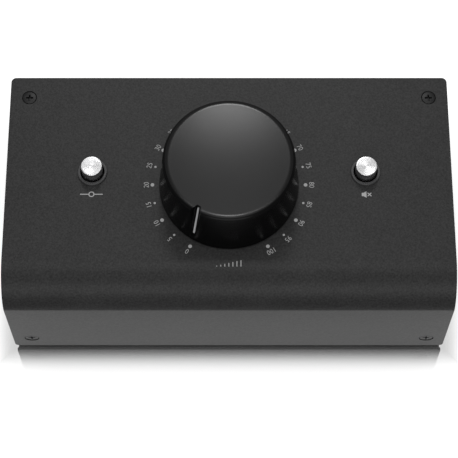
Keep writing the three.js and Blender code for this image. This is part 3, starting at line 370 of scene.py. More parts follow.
    def combined(self, other: Solid, way: Combining) -> Solid:
        """Joins another solid to this one or cuts it away.

        Args:
            other: The second solid.
            way: What is done with it.

        Returns:
            This solid with the result as its mesh.
        """
        solids = {"work": self, "tool": other}
        held = [new_object(name, solid.to_mesh(name)) for name, solid in solids.items()]
        work, tool = held
        modifier = work.modifiers.new("combining", "BOOLEAN")
        modifier.operation = way.value
        modifier.solver = "EXACT"
        modifier.object = tool
        graph = bpy.context.evaluated_depsgraph_get()
        made = bpy.data.meshes.new_from_object(work.evaluated_get(graph))
        self.bm.clear()
        self.bm.from_mesh(made)
        bpy.data.meshes.remove(made)
        for item in held:
            mesh = item.data
            bpy.data.objects.remove(item)
            bpy.data.meshes.remove(mesh)
        return self

    def cut(self, *tools: Solid) -> Solid:
        """Cuts each tool from the solid.

        Args:
            tools: The solids that are cut away.

        Returns:
            This solid.
        """
        for tool in tools:
            self.combined(tool, Combining.CUT)
        return self

    def join(self, *others: Solid) -> Solid:
        """Joins others that overlap the solid.

        Args:
            others: The solids that are joined.

        Returns:
            This solid.
        """
        for other in others:
            self.combined(other, Combining.JOIN)
        return self

    def stand_for(
        self,
        node: str,
        finishes: Sequence[Finish],
        slot: str,
        body: str = "casing",
        chosen: Callable[[Vector, Vector], int] | None = None,
    ) -> bpy.types.Object:
        """Finishes the solid as the piece that is shown in place of a node.

        Args:
            node: Name of the node.
            finishes: The piece's finishes.
            slot: Handed on to piece, which does not use it.
            body: The body that it rides on.
            chosen: Gives the finish's number for a face's centre and normal, in millimetres.

        Returns:
            The finished object.
        """
        made = self.piece(f"{node}_fine", finishes, slot, body, chosen)
        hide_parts(node)
        return made

    def piece(
        self,
        name: str,
        finishes: Sequence[Finish],
        slot: str,
        body: str = "casing",
        chosen: Callable[[Vector, Vector], int] | None = None,
    ) -> bpy.types.Object:
        """Finishes the solid as a piece of the object.

        Args:
            name: Name of the piece.
            finishes: Its finishes.
            slot: Not used.
            body: The body that it rides on.
            chosen: Gives the finish's number for a face's centre and normal, in millimetres.

        Returns:
            The finished object.
        """
        if chosen is not None:
            for face in self.bm.faces:
                face.material_index = chosen(face.calc_center_median(), face.normal)
        bmesh.ops.scale(self.bm, vec=(MM, MM, MM), verts=self.bm.verts[:])
        mesh = self.to_mesh(name)
        self.bm.free()
        for finish in finishes:
            mesh.materials.append(finish.material())
        mesh.polygons.foreach_set("use_smooth", [True] * len(mesh.polygons))
        mesh.set_sharp_from_angle(angle=SHARP_EDGE)
        made = new_object(name, mesh)
        weighted = made.modifiers.new("even_shading", "WEIGHTED_NORMAL")
        weighted.keep_sharp = True
        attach(made, body)
        LOG.info("%s: %d faces on %s", name, len(mesh.polygons), body)
        return made


def is_upright(edge: bmesh.types.BMEdge) -> bool:
    """Says whether an edge runs along Z."""
    first, second = edge.verts
    return (first.co.xy - second.co.xy).length < WELD


def is_fold(floor: float, side: float) -> Callable[[bmesh.types.BMEdge], bool]:
    """Gives the test for the edges along both sides of a floor.

    Args:
        floor: Height of the floor.
        side: How far its sides lie from the middle.

    Returns:
        A function that says of an edge whether it is one of them.
    """
    def at_side(vert: bmesh.types.BMVert) -> bool:
        """Says whether a vertex lies on the floor and at a side."""
        return vert.co.z < floor + WELD and abs(vert.co.x) > side - WELD

    return lambda edge: all(at_side(vert) for vert in edge.verts)


def radians_between(start: float, end: float, steps: int) -> list[float]:
    """Gives evenly spaced angles from start to end, both included, for angles in degrees."""
    return [math.radians(start + (end - start) * i / steps) for i in range(steps + 1)]


def crown_profile(flat: float, top: float, edge: Point, rise: float, steps: tuple[int, int]) -> list[Point]:
    """Gives the profile of a rounded edge and of the crown or dish inside it, from the side to the axis.

    Args:
        flat: Radius where the edge ends and the crown begins.
        top: Height of that place.
        edge: Width and drop of the rounded edge.
        rise: How much higher the middle is, negative for a dish.
        steps: Steps of the edge and of the crown.

    Returns:
        Radius and height of each point.
    """
    width, drop = edge
    edge_steps, crown_steps = steps
    points = [
        (flat + width * math.cos(angle), top - drop + drop * math.sin(angle))
        for angle in radians_between(0, 90, edge_steps)
    ]
    for i in range(crown_steps):
        share = 1 - (i + 1) / crown_steps
        points.append((flat * share, top + rise * (1 - share * share)))
    return points


def new_object(name: str, data: bpy.types.ID) -> bpy.types.Object:
    """Makes an object and puts it in the scene.

    Args:
        name: Its name.
        data: Its mesh, text, light or camera.

    Returns:
        The object.
    """
    made = bpy.data.objects.new(name, data)
    bpy.context.scene.collection.objects.link(made)
    return made


def aim_from(made: bpy.types.Object, place: Triple, aim: Triple) -> None:
    """Puts a lamp or a camera at a place and turns it to a point."""
    made.location = place
    made.rotation_euler = (Vector(aim) - Vector(place)).to_track_quat("-Z", "Y").to_euler()


class Signal:
    """An output socket whose arithmetic adds nodes to its material."""

    def __init__(self, sheet: NodeSheet, socket: bpy.types.NodeSocket) -> None:
        """Wraps a socket of a sheet."""
        self.sheet = sheet
        self.socket = socket

    def __add__(self, other: Signal | float) -> Signal:
        """Adds."""
        return self.sheet.combine("ADD", self, other)

    def __radd__(self, other: float) -> Signal:
        """Adds to a number."""
        return self.sheet.combine("ADD", other, self)

    def __sub__(self, other: Signal | float) -> Signal:
        """Subtracts."""
        return self.sheet.combine("SUBTRACT", self, other)

    def __rsub__(self, other: float) -> Signal:
        """Subtracts from a number."""
        return self.sheet.combine("SUBTRACT", other, self)

    def __mul__(self, other: Signal | float) -> Signal:
        """Multiplies."""
        return self.sheet.combine("MULTIPLY", self, other)

    def __rmul__(self, other: float) -> Signal:
        """Multiplies a number."""
        return self.sheet.combine("MULTIPLY", other, self)

    def __truediv__(self, other: Signal | float) -> Signal:
        """Divides."""
        return self.sheet.combine("DIVIDE", self, other)

    def __rtruediv__(self, other: float) -> Signal:
        """Divides a number."""
        return self.sheet.combine("DIVIDE", other, self)


class NodeSheet:
    """The nodes of one material or of the world."""

    def __init__(self, tree: bpy.types.NodeTree) -> None:
        """Clears the node tree and takes it over."""
        self.tree = tree
        tree.nodes.clear()

    def node(self, kind: str, settings: dict | None = None, inputs: dict | None = None) -> bpy.types.Node:
        """Adds a node.

        Args:
            kind: Type of the node.
            settings: Its settings, which are set first.
            inputs: Numbers, colours or signals for its sockets, by name or number.

        Returns:
            The node.
        """
        made = self.tree.nodes.new(kind)
        for key, value in (settings or {}).items():
            setattr(made, key, value)
        for key, value in (inputs or {}).items():
            self.feed(made.inputs[key], value)
        return made

    def feed(self, socket: bpy.types.NodeSocket, value: Signal | float | Sequence[float]) -> None:
        """Links a signal to a socket, or sets the socket to a constant.

        Args:
            socket: The socket.
            value: A signal, a number or a colour.
        """
        if isinstance(value, Signal):
            self.tree.links.new(value.socket, socket)
        elif socket.type == "RGBA" and len(value) == 3:
            socket.default_value = (*value, 1)
        else:
            socket.default_value = value

    def signal(self, kind: str, settings: dict | None = None, inputs: dict | None = None,
               output: str | int = 0) -> Signal:
        """Adds a node and gives one of its outputs.

        Args:
            kind: Type of the node.
            settings: Its settings.
            inputs: The values or signals of its sockets.
            output: Name or number of the output.

        Returns:
            The output as a signal.
        """
        return Signal(self, self.node(kind, settings, inputs).outputs[output])

    def combine(self, operation: str, left: Signal | float, right: Signal | float) -> Signal:
        """Adds the node for one step of arithmetic.

        Args:
            operation: Name of the operation.
            left: First value.
            right: Second value.

        Returns:
            The result; colours go through Mix, vectors through Vector Math and numbers through Math.
        """
        kinds = [value.socket.type for value in (left, right) if isinstance(value, Signal)]
        if "RGBA" in kinds:
            inputs = {0: 1.0, MixSocket.FIRST: left, MixSocket.SECOND: right}
            settings = {"data_type": "RGBA", "blend_type": operation}
            return self.signal("ShaderNodeMix", settings, inputs, MixSocket.RESULT)
        kind = "ShaderNodeVectorMath" if "VECTOR" in kinds else "ShaderNodeMath"
        return self.signal(kind, {"operation": operation}, {0: left, 1: right})

    def object_place(self) -> Signal:
        """Gives Object coordinates in metres."""
        return self.signal("ShaderNodeTexCoord", output="Object")

    def about(self, place: Signal, x: float, y: float) -> Signal:
        """Centres coordinates in metres on an upright axis whose place is in millimetres."""
        return self.signal("ShaderNodeMapping", inputs={"Vector": place, "Location": (-x * MM, -y * MM, 0)})

    def noise(self, place: Signal, size: float, detail: float) -> Signal:
        """Gives noise from 0 to 1.

        Args:
            place: Coordinates in metres.
            size: Size of its grains in millimetres.
            detail: How many finer layers it has.

        Returns:
            The noise.
        """
        inputs = {"Vector": place, "Scale": 1 / (size * MM), "Detail": detail}
        return self.signal("ShaderNodeTexNoise", inputs=inputs, output="Fac")

    def limited(self, value: Signal) -> Signal:
        """Keeps a number between 0 and 1."""
        return self.signal("ShaderNodeClamp", inputs={"Value": value})

    def measured(self, operation: str, value: Signal) -> Signal:
        """Gives a function of one number, such as its sine or size."""
        return self.signal("ShaderNodeMath", {"operation": operation}, {0: value})

    def between(self, factor: Signal, first: Triple, second: Triple) -> Signal:
        """Mixes two colours by a factor."""
        inputs = {0: factor, MixSocket.FIRST: first, MixSocket.SECOND: second}
        return self.signal("ShaderNodeMix", {"data_type": "RGBA"}, inputs, MixSocket.RESULT)

    def axes(self, place: Signal) -> tuple[Signal, Signal, Signal]:
        """Splits coordinates into X, Y and Z."""
        made = self.node("ShaderNodeSeparateXYZ", inputs={0: place})
        return tuple(Signal(self, output) for output in made.outputs)

    def any_of(self, path: bpy.types.Node, *kinds: str) -> Signal:
        """Gives 1 for a ray of any of the named kinds.

        Args:
            path: The Light Path node.
            kinds: Names of its outputs.

        Returns:
            1 or 0.
        """
        rays = [Signal(self, path.outputs[kind]) for kind in kinds]
        whole = rays[0]
        for ray in rays[1:]:
            whole = self.combine("MAXIMUM", whole, ray)
        return whole


def new_material(name: str) -> tuple[bpy.types.Material, NodeSheet]:
    """Makes a material with an empty node sheet.

    Args:
        name: The material's name.

    Returns:
        The material and its sheet.
    """
    made = bpy.data.materials.new(name)
    made.use_nodes = True
    return made, NodeSheet(made.node_tree)


@dataclass(frozen=True)
class Finish:
    """A surface finish: its colour and gloss, and how both vary over the surface."""

    name: str
    colour: Triple
    roughness: float
    metallic: float = 0.0
    specular: float = 0.5
    grain: float = 0.3
    relief: float = 0.0
    tone_share: float = 0.06
    gloss_share: float = 0.1
    cloud: float = 12.0
    contrast: float = 1.0
    fine_detail: float = 3.0
    broad_detail: float = 2.0
    fine_tone_share: float = 0.6
    broad_tone_share: float = 0.4
    even_tone_share: float = 0.3

    def height(self, sheet: NodeSheet, place: Signal) -> Signal:
        """Gives the height of the surface's relief, from 0 to 1."""
        return sheet.noise(place, self.grain, self.fine_detail)

    def tint(self, sheet: NodeSheet, place: Signal) -> Signal:
        """Gives the surface's colour, a little lighter and darker from place to place.

        Args:
            sheet: The material's node sheet.
            place: Object coordinates in metres.

        Returns:
            The colour.
        """
        fine = sheet.noise(place, self.grain, self.fine_detail)
        broad = sheet.noise(place, self.cloud, self.broad_detail)
        darker = tuple(value * (1 - self.tone_share) for value in self.colour)
        lighter = tuple(value * (1 + self.tone_share) for value in self.colour)
        speckle = (fine - 0.5) * self.contrast
        level = speckle * self.fine_tone_share + broad * self.broad_tone_share + self.even_tone_share
        return sheet.between(sheet.limited(level), darker, lighter)

    @cache
    def material(self) -> bpy.types.Material:
        """Makes the material, once for each finish.

        Returns:
            The material.
        """
        made, sheet = new_material(self.name)
        place = sheet.object_place()
        broad = sheet.noise(place, self.cloud, self.broad_detail)
        gloss = self.roughness * (1 - self.gloss_share / 2) + broad * (self.roughness * self.gloss_share)
        surface = {
            "Base Color": self.tint(sheet, place),
            "Roughness": gloss,
            "Metallic": self.metallic,
            "Specular IOR Level": self.specular,
        }
        if self.relief > 0:
            relief = {"Height": self.height(sheet, place), "Distance": self.relief * MM, "Strength": 1.0}
            surface["Normal"] = sheet.signal("ShaderNodeBump", inputs=relief)
        shader = sheet.signal("ShaderNodeBsdfPrincipled", inputs=surface)
        sheet.node("ShaderNodeOutputMaterial", inputs={"Surface": shader})
        return made


@dataclass(frozen=True)
class TurnedMetal(Finish):
    """Metal with the fine rings that turning leaves about its own axis, and a painted sheen: lighter and
    darker wedges of colour about that axis.
    """

    centre: Point = (0.0, 0.0)
    ring: float = 0.16
    # Painted sheen: the angle of its lighter wedge, how much darker grain and sheen can make the colour, and
    # how strongly the wedges weigh.
    painted_sheen_degrees: float = 118.0
    grain_and_sheen_share: float = 0.28
    painted_sheen_tone_share: float = 0.4
    fine_tone_share: float = 0.3
    even_tone_share: float = 0.35
    wave_share: float = 0.35

    def tint(self, sheet: NodeSheet, place: Signal) -> Signal:
        """Gives the colour, with a painted sheen: lighter and darker wedges by angle about the axis stand in
        for the reflection of turned metal, over a fine grain.

        Args:
            sheet: The material's node sheet.
            place: Object coordinates in metres.

        Returns:
            The colour.
        """
        across, along = self.from_centre(sheet, place)
        # Painted sheen: a pattern by angle about the axis makes a lighter wedge and darker wedges beside it,
        # painted light in the colour.
        turn = 2 * math.radians(self.painted_sheen_degrees)
        straight = (across * across - along * along) * math.cos(turn)
        slanted = across * along * (2 * math.sin(turn))
        apart = across * across + along * along + (self.ring * MM) ** 2
        painted_sheen = (straight + slanted) / apart
        fine = sheet.noise(place, self.grain, self.fine_detail)
        darker = tuple(value * (1 - self.grain_and_sheen_share) for value in self.colour)
        level = painted_sheen * self.painted_sheen_tone_share + fine * self.fine_tone_share + self.even_tone_share
        return sheet.between(sheet.limited(level), darker, self.colour)

    def from_centre(self, sheet: NodeSheet, place: Signal) -> tuple[Signal, Signal]:
        """Gives how far a place lies across and along from the turning axis."""
        across, along, _ = sheet.axes(sheet.about(place, *self.centre))
        return across, along

    def height(self, sheet: NodeSheet, place: Signal) -> Signal:
        """Gives the height of the turning rings.

        Args:
            sheet: The material's node sheet.
            place: Object coordinates in metres.

        Returns:
            The height.
        """
        across, along = self.from_centre(sheet, place)
        radius = sheet.measured("SQRT", across * across + along * along)
        wave = sheet.measured("SINE", radius * (math.tau / (self.ring * MM)))
        uneven = sheet.noise(radius, self.ring, self.broad_detail)
        return wave * self.wave_share + uneven * (1 - self.wave_share)


@dataclass(frozen=True)
class RibbedLead(Finish):
    """A flat lead of conductors side by side."""

    rib: float = 1.2

    def height(self, sheet: NodeSheet, place: Signal) -> Signal:
        """Gives the height of the ribs.

        Args:
            sheet: The material's node sheet.
            place: Object coordinates in metres.

        Returns:
            The height, from 0 to 1.
        """
        x, _, _ = sheet.axes(place)
        wave = sheet.measured("SINE", x * (math.tau / (self.rib * MM)))
        return wave * 0.5 + 0.5


@dataclass(frozen=True)
class Laminate(Finish):
    """Pressed laminate with a cross weave under its surface."""

    weave: float = 0.5

    def height(self, sheet: NodeSheet, place: Signal) -> Signal:
        """Gives the height of the weave.

        Args:
            sheet: The material's node sheet.
            place: Object coordinates in metres.

        Returns:
            The height, from 0 to 1.
        """
        x, y, z = sheet.axes(place)
        first = sheet.measured("SINE", (x + z) * (math.tau / (self.weave * MM)))
        second = sheet.measured("SINE", (y + z) * (math.tau / (self.weave * MM)))
        return first * second * 0.5 + 0.5


PAINT = Finish(
    "powder_coat", (0.0191, 0.019, 0.0191), 0.45, specular=0.3, grain=0.6, relief=0.03, tone_share=0.6,
    contrast=3.6,
)
KNOB_SIDE = Finish("knob_gloss", (0.001, 0.001, 0.0011), 0.25, specular=0.16, grain=0.9, relief=0.0008)
KNOB_TOP = Finish("knob_satin", (0.003, 0.003, 0.0031), 0.265, specular=0.42, grain=0.4, relief=0.004)
KNOB_EDGE = Finish("knob_edge_satin", (0.002, 0.002, 0.0021), 0.22, specular=0.5, grain=0.4, relief=0.003)
POINTER = Finish("pointer_satin", (0.42, 0.42, 0.425), 0.35, specular=0.5, grain=0.2, relief=0.003)
COLLAR = Finish("collar_moulding", (0.045, 0.045, 0.046), 0.45, specular=0.5, grain=0.25, relief=0.006)
INK = Finish("panel_ink", (0.42, 0.42, 0.42), 0.6, specular=0.3, grain=0.2, relief=0.006)
OXIDE = Finish(
    "black_oxide", (0.01, 0.01, 0.0102), 0.4, specular=0.3, grain=0.2, relief=0.004, tone_share=0.2
)
RUBBER = Finish("black_rubber", (0.012, 0.012, 0.012), 0.8, specular=0.3, grain=0.4, relief=0.02)
PLATED = Finish(
    "plated_metal", (0.62, 0.62, 0.61), 0.3, metallic=1.0, grain=0.6, relief=0.004, gloss_share=0.3
)
WAFER = Laminate("pressed_laminate", (0.16, 0.075, 0.03), 0.55, relief=0.01, tone_share=0.15)
BOARD = Laminate("solder_mask", (0.006, 0.06, 0.017), 0.35, specular=0.5, relief=0.004, tone_share=0.2)
MOULDING = Finish("socket_moulding", (0.012, 0.012, 0.0125), 0.42, specular=0.5, grain=0.35, relief=0.01)
LEAD = RibbedLead("ribbed_lead", (0.25, 0.25, 0.26), 0.55, specular=0.4, relief=0.15)


@dataclass
class CountersunkScrew:
    """A black countersunk screw with a cross recess, the same for the cover and the sockets."""

    head_radius: float = 2.24
    radius: float = 1.4
    length: float = 5.5
    sink: float = 0.15
    edge: float = 0.05
    play: float = 0.11
    lip: float = 0.3
    hole_play: float = 0.1
    cross_length: float = 2.7
    cross_width: float = 0.7
    cross_depth: float = 1.1
    cross_taper_share: float = 0.55

    @property
    def hole(self) -> float:
        """Radius of the hole that the screw goes through."""
        return self.radius + self.hole_play

    def arm(self, turn: float) -> Solid:
        """Makes one tapered bar of the cross recess, turned about Z.

        Args:
            turn: Its turn in radians.

        Returns:
            The tool that cuts it.
        """
        half = self.cross_length / 2
        side = self.cross_width / 2
        bottom = -self.sink - self.cross_depth
        bar = Solid.block((-half, -side, bottom), (half, side, self.sink))
        low = [vert for vert in bar.bm.verts if vert.co.z < bottom + WELD]
        bmesh.ops.scale(bar.bm, vec=(self.cross_taper_share, self.cross_taper_share, 1), verts=low)
        return bar.moved(Matrix.Rotation(turn, 4, "Z"))

    def body(self) -> Solid:
        """Turns the screw with the sheet's surface at height 0, and cuts its recess.

        Returns:
            The screw, pointing down.
        """
        top = -self.sink
        neck = top - self.edge - (self.head_radius - self.radius)
        profile = [
            (0, top),
            (self.head_radius, top),
            (self.head_radius, top - self.edge),
            (self.radius, neck),
            (self.radius, top - self.length),
            (0, top - self.length),
        ]
        screw = Solid.turned(profile, Turn.SCREW)
        screw.round_ring(self.head_radius, top, self.edge / 2, Facets.TINY)
        return screw.cut(self.arm(0.0), self.arm(math.pi / 2))

    def seat(self, depth: float) -> Solid:
        """Makes the tool that cuts the screw's seat and hole.

        Args:
            depth: How deep the hole goes from the sheet's surface.

        Returns:
            The tool, pointing down.
        """
        mouth = self.head_radius + self.sink + self.edge + self.play
        neck = self.hole - mouth - self.lip
        profile = [
            (0, OVERRUN),
            (mouth, OVERRUN),
            (mouth, -self.lip),
            (self.hole, neck),
            (self.hole, -depth),
            (0, -depth),
        ]
        return Solid.turned(profile, Turn.SCREW)

    def build(self, node: str, axis: Axis) -> None:
        """Makes the screw that stands for a node.

        Args:
            node: Name of the node.
            axis: The way that its head faces.
        """
        box = NodeBox.of(node)
        x, y, z = box.middle
        if axis is Axis.UP:
            z = box.high.z + self.sink
        elif axis is Axis.FRONT:
            y = box.low.y - self.sink
        else:
            y = box.high.y + self.sink
        self.body().moved(axis.placed(x, y, z)).stand_for(node, [OXIDE], "black_screw")


@dataclass
class Casing:
    """The painted cover and the chassis under it, with its rubber feet."""

    sheet: float = SHEET
    bend_radius: float = 14.3
    bend_stop: float = 80.0
    plan_corner: float = 1.7
    skirt_corner: float = 1.5
    sheet_edge: float = 0.28
    fold: float = 1.9
    lip_height: float = 12.5
    flange_depth: float = 11.0
    relief: float = 1.0
    seam: float = 0.4
    collar_hole: float = 4.6
    bushing_hole: float = 4.65
    lug_length: float = 3.3
    lug_width: float = 1.5
    lug_offset: float = 8.4
    standoff_radius: float = 2.6
    standoff_bore: float = 1.3
    standoff_bore_depth: float = 6.0
    nose_hole: float = 12.0
    jack_hole: float = 4.2
    foot_edge: float = 0.6
    foot_dish: float = 0.35
    bend_steps: int = 30
    arc_steps: int = 16
    rounded_from_degrees: float = 60.0

    def __post_init__(self) -> None:
        """Takes the casing's overall sizes from the frame."""
        stop = math.radians(self.bend_stop)
        self.bend_run = self.bend_radius * math.sin(stop)
        self.bend_drop = self.bend_radius * (1 - math.cos(stop))
        self.cover = NodeBox.of("top_cover")
        self.chassis = NodeBox.of("chassis")
        self.screw = CountersunkScrew()

    def cover_sheet(self) -> Solid:
        """Bends the cover's outer face from its rear edge to its skirt and gives it a wall.

        Returns:
            The bent sheet without its holes.
        """
        low = self.cover.low
        high = self.cover.high
        sheet = Solid()
        bm = sheet.bm
        ends = [bm.verts.new((x, high.y, high.z)) for x in (low.x, high.x)]
        edges = [bm.edges.new(ends)]
        edges = self.run(bm, edges, (0, low.y + self.bend_run - high.y, 0))
        middle = (0, low.y + self.bend_run, high.z - self.bend_radius)
        turn = math.radians(self.bend_stop)
        spun = bmesh.ops.spin(bm, geom=edges, cent=middle, axis=(1, 0, 0), angle=turn, steps=self.bend_steps)
        edges = [item for item in spun["geom_last"] if isinstance(item, bmesh.types.BMEdge)]
        self.run(bm, edges, (0, 0, low.z - (high.z - self.bend_drop)))
        bmesh.ops.remove_doubles(bm, verts=bm.verts[:], dist=WELD)
        self.round_sheet(bm, high.y, self.plan_corner, lambda vert: vert.co.y)
        self.round_sheet(bm, low.z, self.skirt_corner, lambda vert: vert.co.z)
        self.thicken(bm)
        least = math.radians(self.rounded_from_degrees)
        return sheet.bevel(lambda edge: edge.calc_face_angle(0) > least, self.sheet_edge, Facets.SMALL)

    def run(
        self, bm: bmesh.types.BMesh, edges: list[bmesh.types.BMEdge], step: Triple
    ) -> list[bmesh.types.BMEdge]:
        """Extrudes edges by a step.

        Args:
            bm: The mesh.
            edges: The edges to extrude.
            step: How far they go.

        Returns:
            The new edges.
        """
        made = bmesh.ops.extrude_edge_only(bm, edges=edges)["geom"]
        verts = [item for item in made if isinstance(item, bmesh.types.BMVert)]
        bmesh.ops.translate(bm, verts=verts, vec=step)
        return [item for item in made if isinstance(item, bmesh.types.BMEdge)]

    def round_sheet(self, bm: bmesh.types.BMesh, level: float, radius: float,
                    along: Callable[[bmesh.types.BMVert], float]) -> None:
        """Rounds the corners of the open sheet at one level.

        Args:
            bm: The mesh.
            level: Where the corners lie.
            radius: Their radius.
            along: Gives a corner's place on the level's axis.
        """
        corners = [vert for vert in bm.verts if abs(along(vert) - level) < WELD]
        bmesh.ops.bevel(bm, geom=corners, offset=radius, affect="VERTICES", segments=Facets.SHEET_CORNER,
                        profile=0.5, material=-1)

    def thicken(self, bm: bmesh.types.BMesh) -> None:
        """Gives the open sheet its wall, inwards from the outer face.

        Args:
            bm: The mesh.
        """
        bmesh.ops.recalc_face_normals(bm, faces=bm.faces[:])
        panel = max(bm.faces, key=lambda face: face.calc_center_median().z)
        if panel.normal.z < 0:
            bmesh.ops.reverse_faces(bm, faces=bm.faces[:])
        bmesh.ops.solidify(bm, geom=bm.faces[:], thickness=self.sheet)
        bmesh.ops.recalc_face_normals(bm, faces=bm.faces[:])

    @staticmethod
    def screw_places(sheet: NodeBox) -> list[Matrix]:
        """Gives the places of the four cover screws on the outer faces of the cover or the chassis.

        Args:
            sheet: The box of the cover or the chassis.

        Returns:
            The matrices from a screw's own space to the frame.
        """
        places = []
        for side, _ in SIDES:
            rear = NodeBox.of(f"cover_screw_rear_{side}").middle
            front = NodeBox.of(f"cover_screw_front_{side}").middle
            places.append(Axis.UP.placed(rear.x, rear.y, sheet.high.z))
            places.append(Axis.FRONT.placed(front.x, sheet.low.y, front.z))
        return places

    def cover_holes(self) -> list[Solid]:
        """Makes the tools that cut the cover's holes.

        Returns:
            The tools.
        """
        top = self.cover.high.z
        through = self.sheet + OVERRUN
        tools = [self.screw.seat(through).moved(place) for place in self.screw_places(self.cover)]
        for name in BUTTONS:
            cap = NodeBox.of(f"{name}_button_cap")
            tools.append(Solid.post(self.collar_hole, -through, OVERRUN).moved(cap.upright(top)))
        tools.append(Solid.post(self.bushing_hole, -through, OVERRUN).moved(Axis.UP.placed(0, 0, top)))
        half_length = self.lug_length / 2
        half_width = self.lug_width / 2
        low = (-half_length, -self.lug_offset - half_width, top - through)
        tools.append(Solid.block(low, (half_length, half_width - self.lug_offset, top + OVERRUN)))
        return tools

    def standoffs(self) -> list[Solid]:
        """Makes the four standoffs under the cover that hold the switch boards.

        Returns:
            The standoffs.
        """
        made = []
        for name in BUTTONS:
            floor = NodeBox.of(f"{name}_switch_board").high.z
            top = self.cover.high.z - self.sheet / 2
            bore_top = floor + self.standoff_bore_depth
            for end in ENDS:
                place = NodeBox.of(f"{name}_board_screw_{end}").upright()
                post = Solid.post(self.standoff_radius, floor, top, Turn.SMALL_POST)
                bore = Solid.post(self.standoff_bore, floor - OVERRUN, bore_top, Turn.BORE)
                made.append(post.cut(bore).moved(place))
        return made

    def build_cover(self) -> None:
        """Makes the cover piece."""
        cover = self.cover_sheet().join(*self.standoffs()).cut(*self.cover_holes())
        cover.stand_for("top_cover", [PAINT], "casing_paint")

    def chassis_block(self) -> Solid:
        """Makes the chassis's outer shape with its folds and its front bend.

        Returns:
            The block.
        """
        low = self.chassis.low
        high = self.chassis.high
        radius = self.bend_radius - self.sheet
        turn = math.degrees(math.asin((self.bend_run - self.sheet) / radius))
        middle = Vector((self.cover.low.y + self.bend_run, self.cover.high.z - self.bend_radius))
        arc = [
            tuple(middle + radius * Vector((-math.sin(angle), math.cos(angle))))
            for angle in radians_between(0, turn, self.arc_steps)
        ]
        outline = [(high.y, low.z), (high.y, high.z), *arc, (low.y, low.z)]
        across = Matrix(((0, 0, 1), (1, 0, 0), (0, 1, 0))).to_4x4()
        block = Solid.prism(outline, low.x, high.x).moved(across)
        return block.bevel(is_fold(low.z, high.x), self.fold, Facets.CORNER)

    def chassis_hollow(self) -> Solid:
        """Makes the tool that hollows the chassis and leaves its rear flange.

        Returns:
            The tool.
        """
        low = self.chassis.low
        high = self.chassis.high
        wall = self.sheet
        start = (low.x + wall, low.y + wall, low.z + wall)
        hollow = Solid.block(start, (high.x - wall, high.y - wall, high.z + OVERRUN))
        hollow.bevel(is_fold(low.z + wall, high.x - wall), self.fold - wall, Facets.MIDDLE)
        start = (low.x - OVERRUN, high.y - wall - self.flange_depth, high.z - wall)
        flange = Solid.block(start, (high.x + OVERRUN, high.y + OVERRUN, high.z + OVERRUN + OVERRUN))
        return hollow.cut(flange)

    def chassis_slits(self) -> list[Solid]:
        """Makes the tools for the open front above the lip and for the slits that let the sheet fold.

        Returns:
            The tools.
        """
        low = self.chassis.low
        high = self.chassis.high
        wall = self.sheet
        lip_top = low.z + self.lip_height
        start = (low.x + wall, low.y - OVERRUN, lip_top)
        tools = [Solid.block(start, (high.x - wall, low.y + wall + OVERRUN, high.z))]
        floor = low.z + self.fold
        above = high.z + OVERRUN
        inner_y = high.y - wall
        flange_y = inner_y - self.flange_depth - OVERRUN
        for _, side in SIDES:
            outer = side * high.x
            inner = side * (high.x - wall)
            slot = side * (high.x - wall - self.relief)
            beyond = outer + side * OVERRUN
            spans = [
                (inner, beyond, inner_y - self.seam, inner_y, floor, above),
                (slot, inner, flange_y, inner_y, high.z - wall - OVERRUN, above),
                (slot, inner, low.y - OVERRUN, low.y + wall + OVERRUN, floor, lip_top + OVERRUN),
            ]
            for first, second, front, rear, bottom, top in spans:
                start = (min(first, second), front, bottom)
                tools.append(Solid.block(start, (max(first, second), rear, top)))
        return tools

    def chassis_holes(self) -> list[Solid]:
        """Makes the tools for the screw holes and the rear wall's socket holes.

        Returns:
            The tools.
        """
        rear = self.chassis.high.y
        through = self.sheet + OVERRUN
        tools = [
            Solid.post(self.screw.hole, -through, OVERRUN, Turn.SMALL_POST).moved(place)
            for place in self.screw_places(self.chassis)
        ]
        for socket in RearSocket.all():
            hole = Solid.post(self.nose_hole, -through, OVERRUN, Turn.WIDE)
            tools.append(hole.moved(Axis.REAR.placed(socket.x, rear, socket.z)))
            for end in RearSocket.SCREWS:
                place = NodeBox.of(f"{socket.name}_screw_{end}").middle
                tools.append(self.screw.seat(through).moved(Axis.REAR.placed(place.x, rear, place.z)))
        jack = MiniJack()
        hole = Solid.post(self.jack_hole, -through, OVERRUN, Turn.JACK_HOLE)
        tools.append(hole.moved(Axis.REAR.placed(jack.x, rear, jack.z)))
        return tools

    def build_chassis(self) -> None:
        """Makes the chassis piece."""
        tools = [self.chassis_hollow(), *self.chassis_slits(), *self.chassis_holes()]
        self.chassis_block().cut(*tools).stand_for("chassis", [PAINT], "casing_paint")

    def build_foot(self, node: str) -> None:
        """Makes the rubber foot that stands for a node, with a dished sole.

        Args:
            node: Name of the node.
        """
        box = NodeBox.of(node)
        radius = box.size.x / 2
        rim = radius - self.foot_edge
        dish = rim - self.foot_edge - self.foot_edge
        height = box.size.z
        profile = [
            (0, self.foot_dish),
            (dish, self.foot_dish),
            (dish + self.foot_dish, 0),
            (radius, 0),
            (radius, height),
            (0, height),
        ]
        foot = Solid.turned(profile, Turn.FOOT).round_ring(radius, 0, self.foot_edge, Facets.MIDDLE)
        foot.moved(box.upright(box.low.z)).stand_for(node, [RUBBER], "foot_rubber")

    def build(self) -> None:
        """Makes the cover, the chassis, their screws and the feet."""
        self.build_cover()
        self.build_chassis()
        for side, _ in SIDES:
            self.screw.build(f"cover_screw_rear_{side}", Axis.UP)
            self.screw.build(f"cover_screw_front_{side}", Axis.FRONT)
            for end in ENDS:
                self.build_foot(f"foot_{end}_{side}")


class KnobFinish(IntEnum):
    """The knob's finishes, in the order in which its piece holds them."""

    SIDE = 0
    CROWN = 1
    EDGE = 2


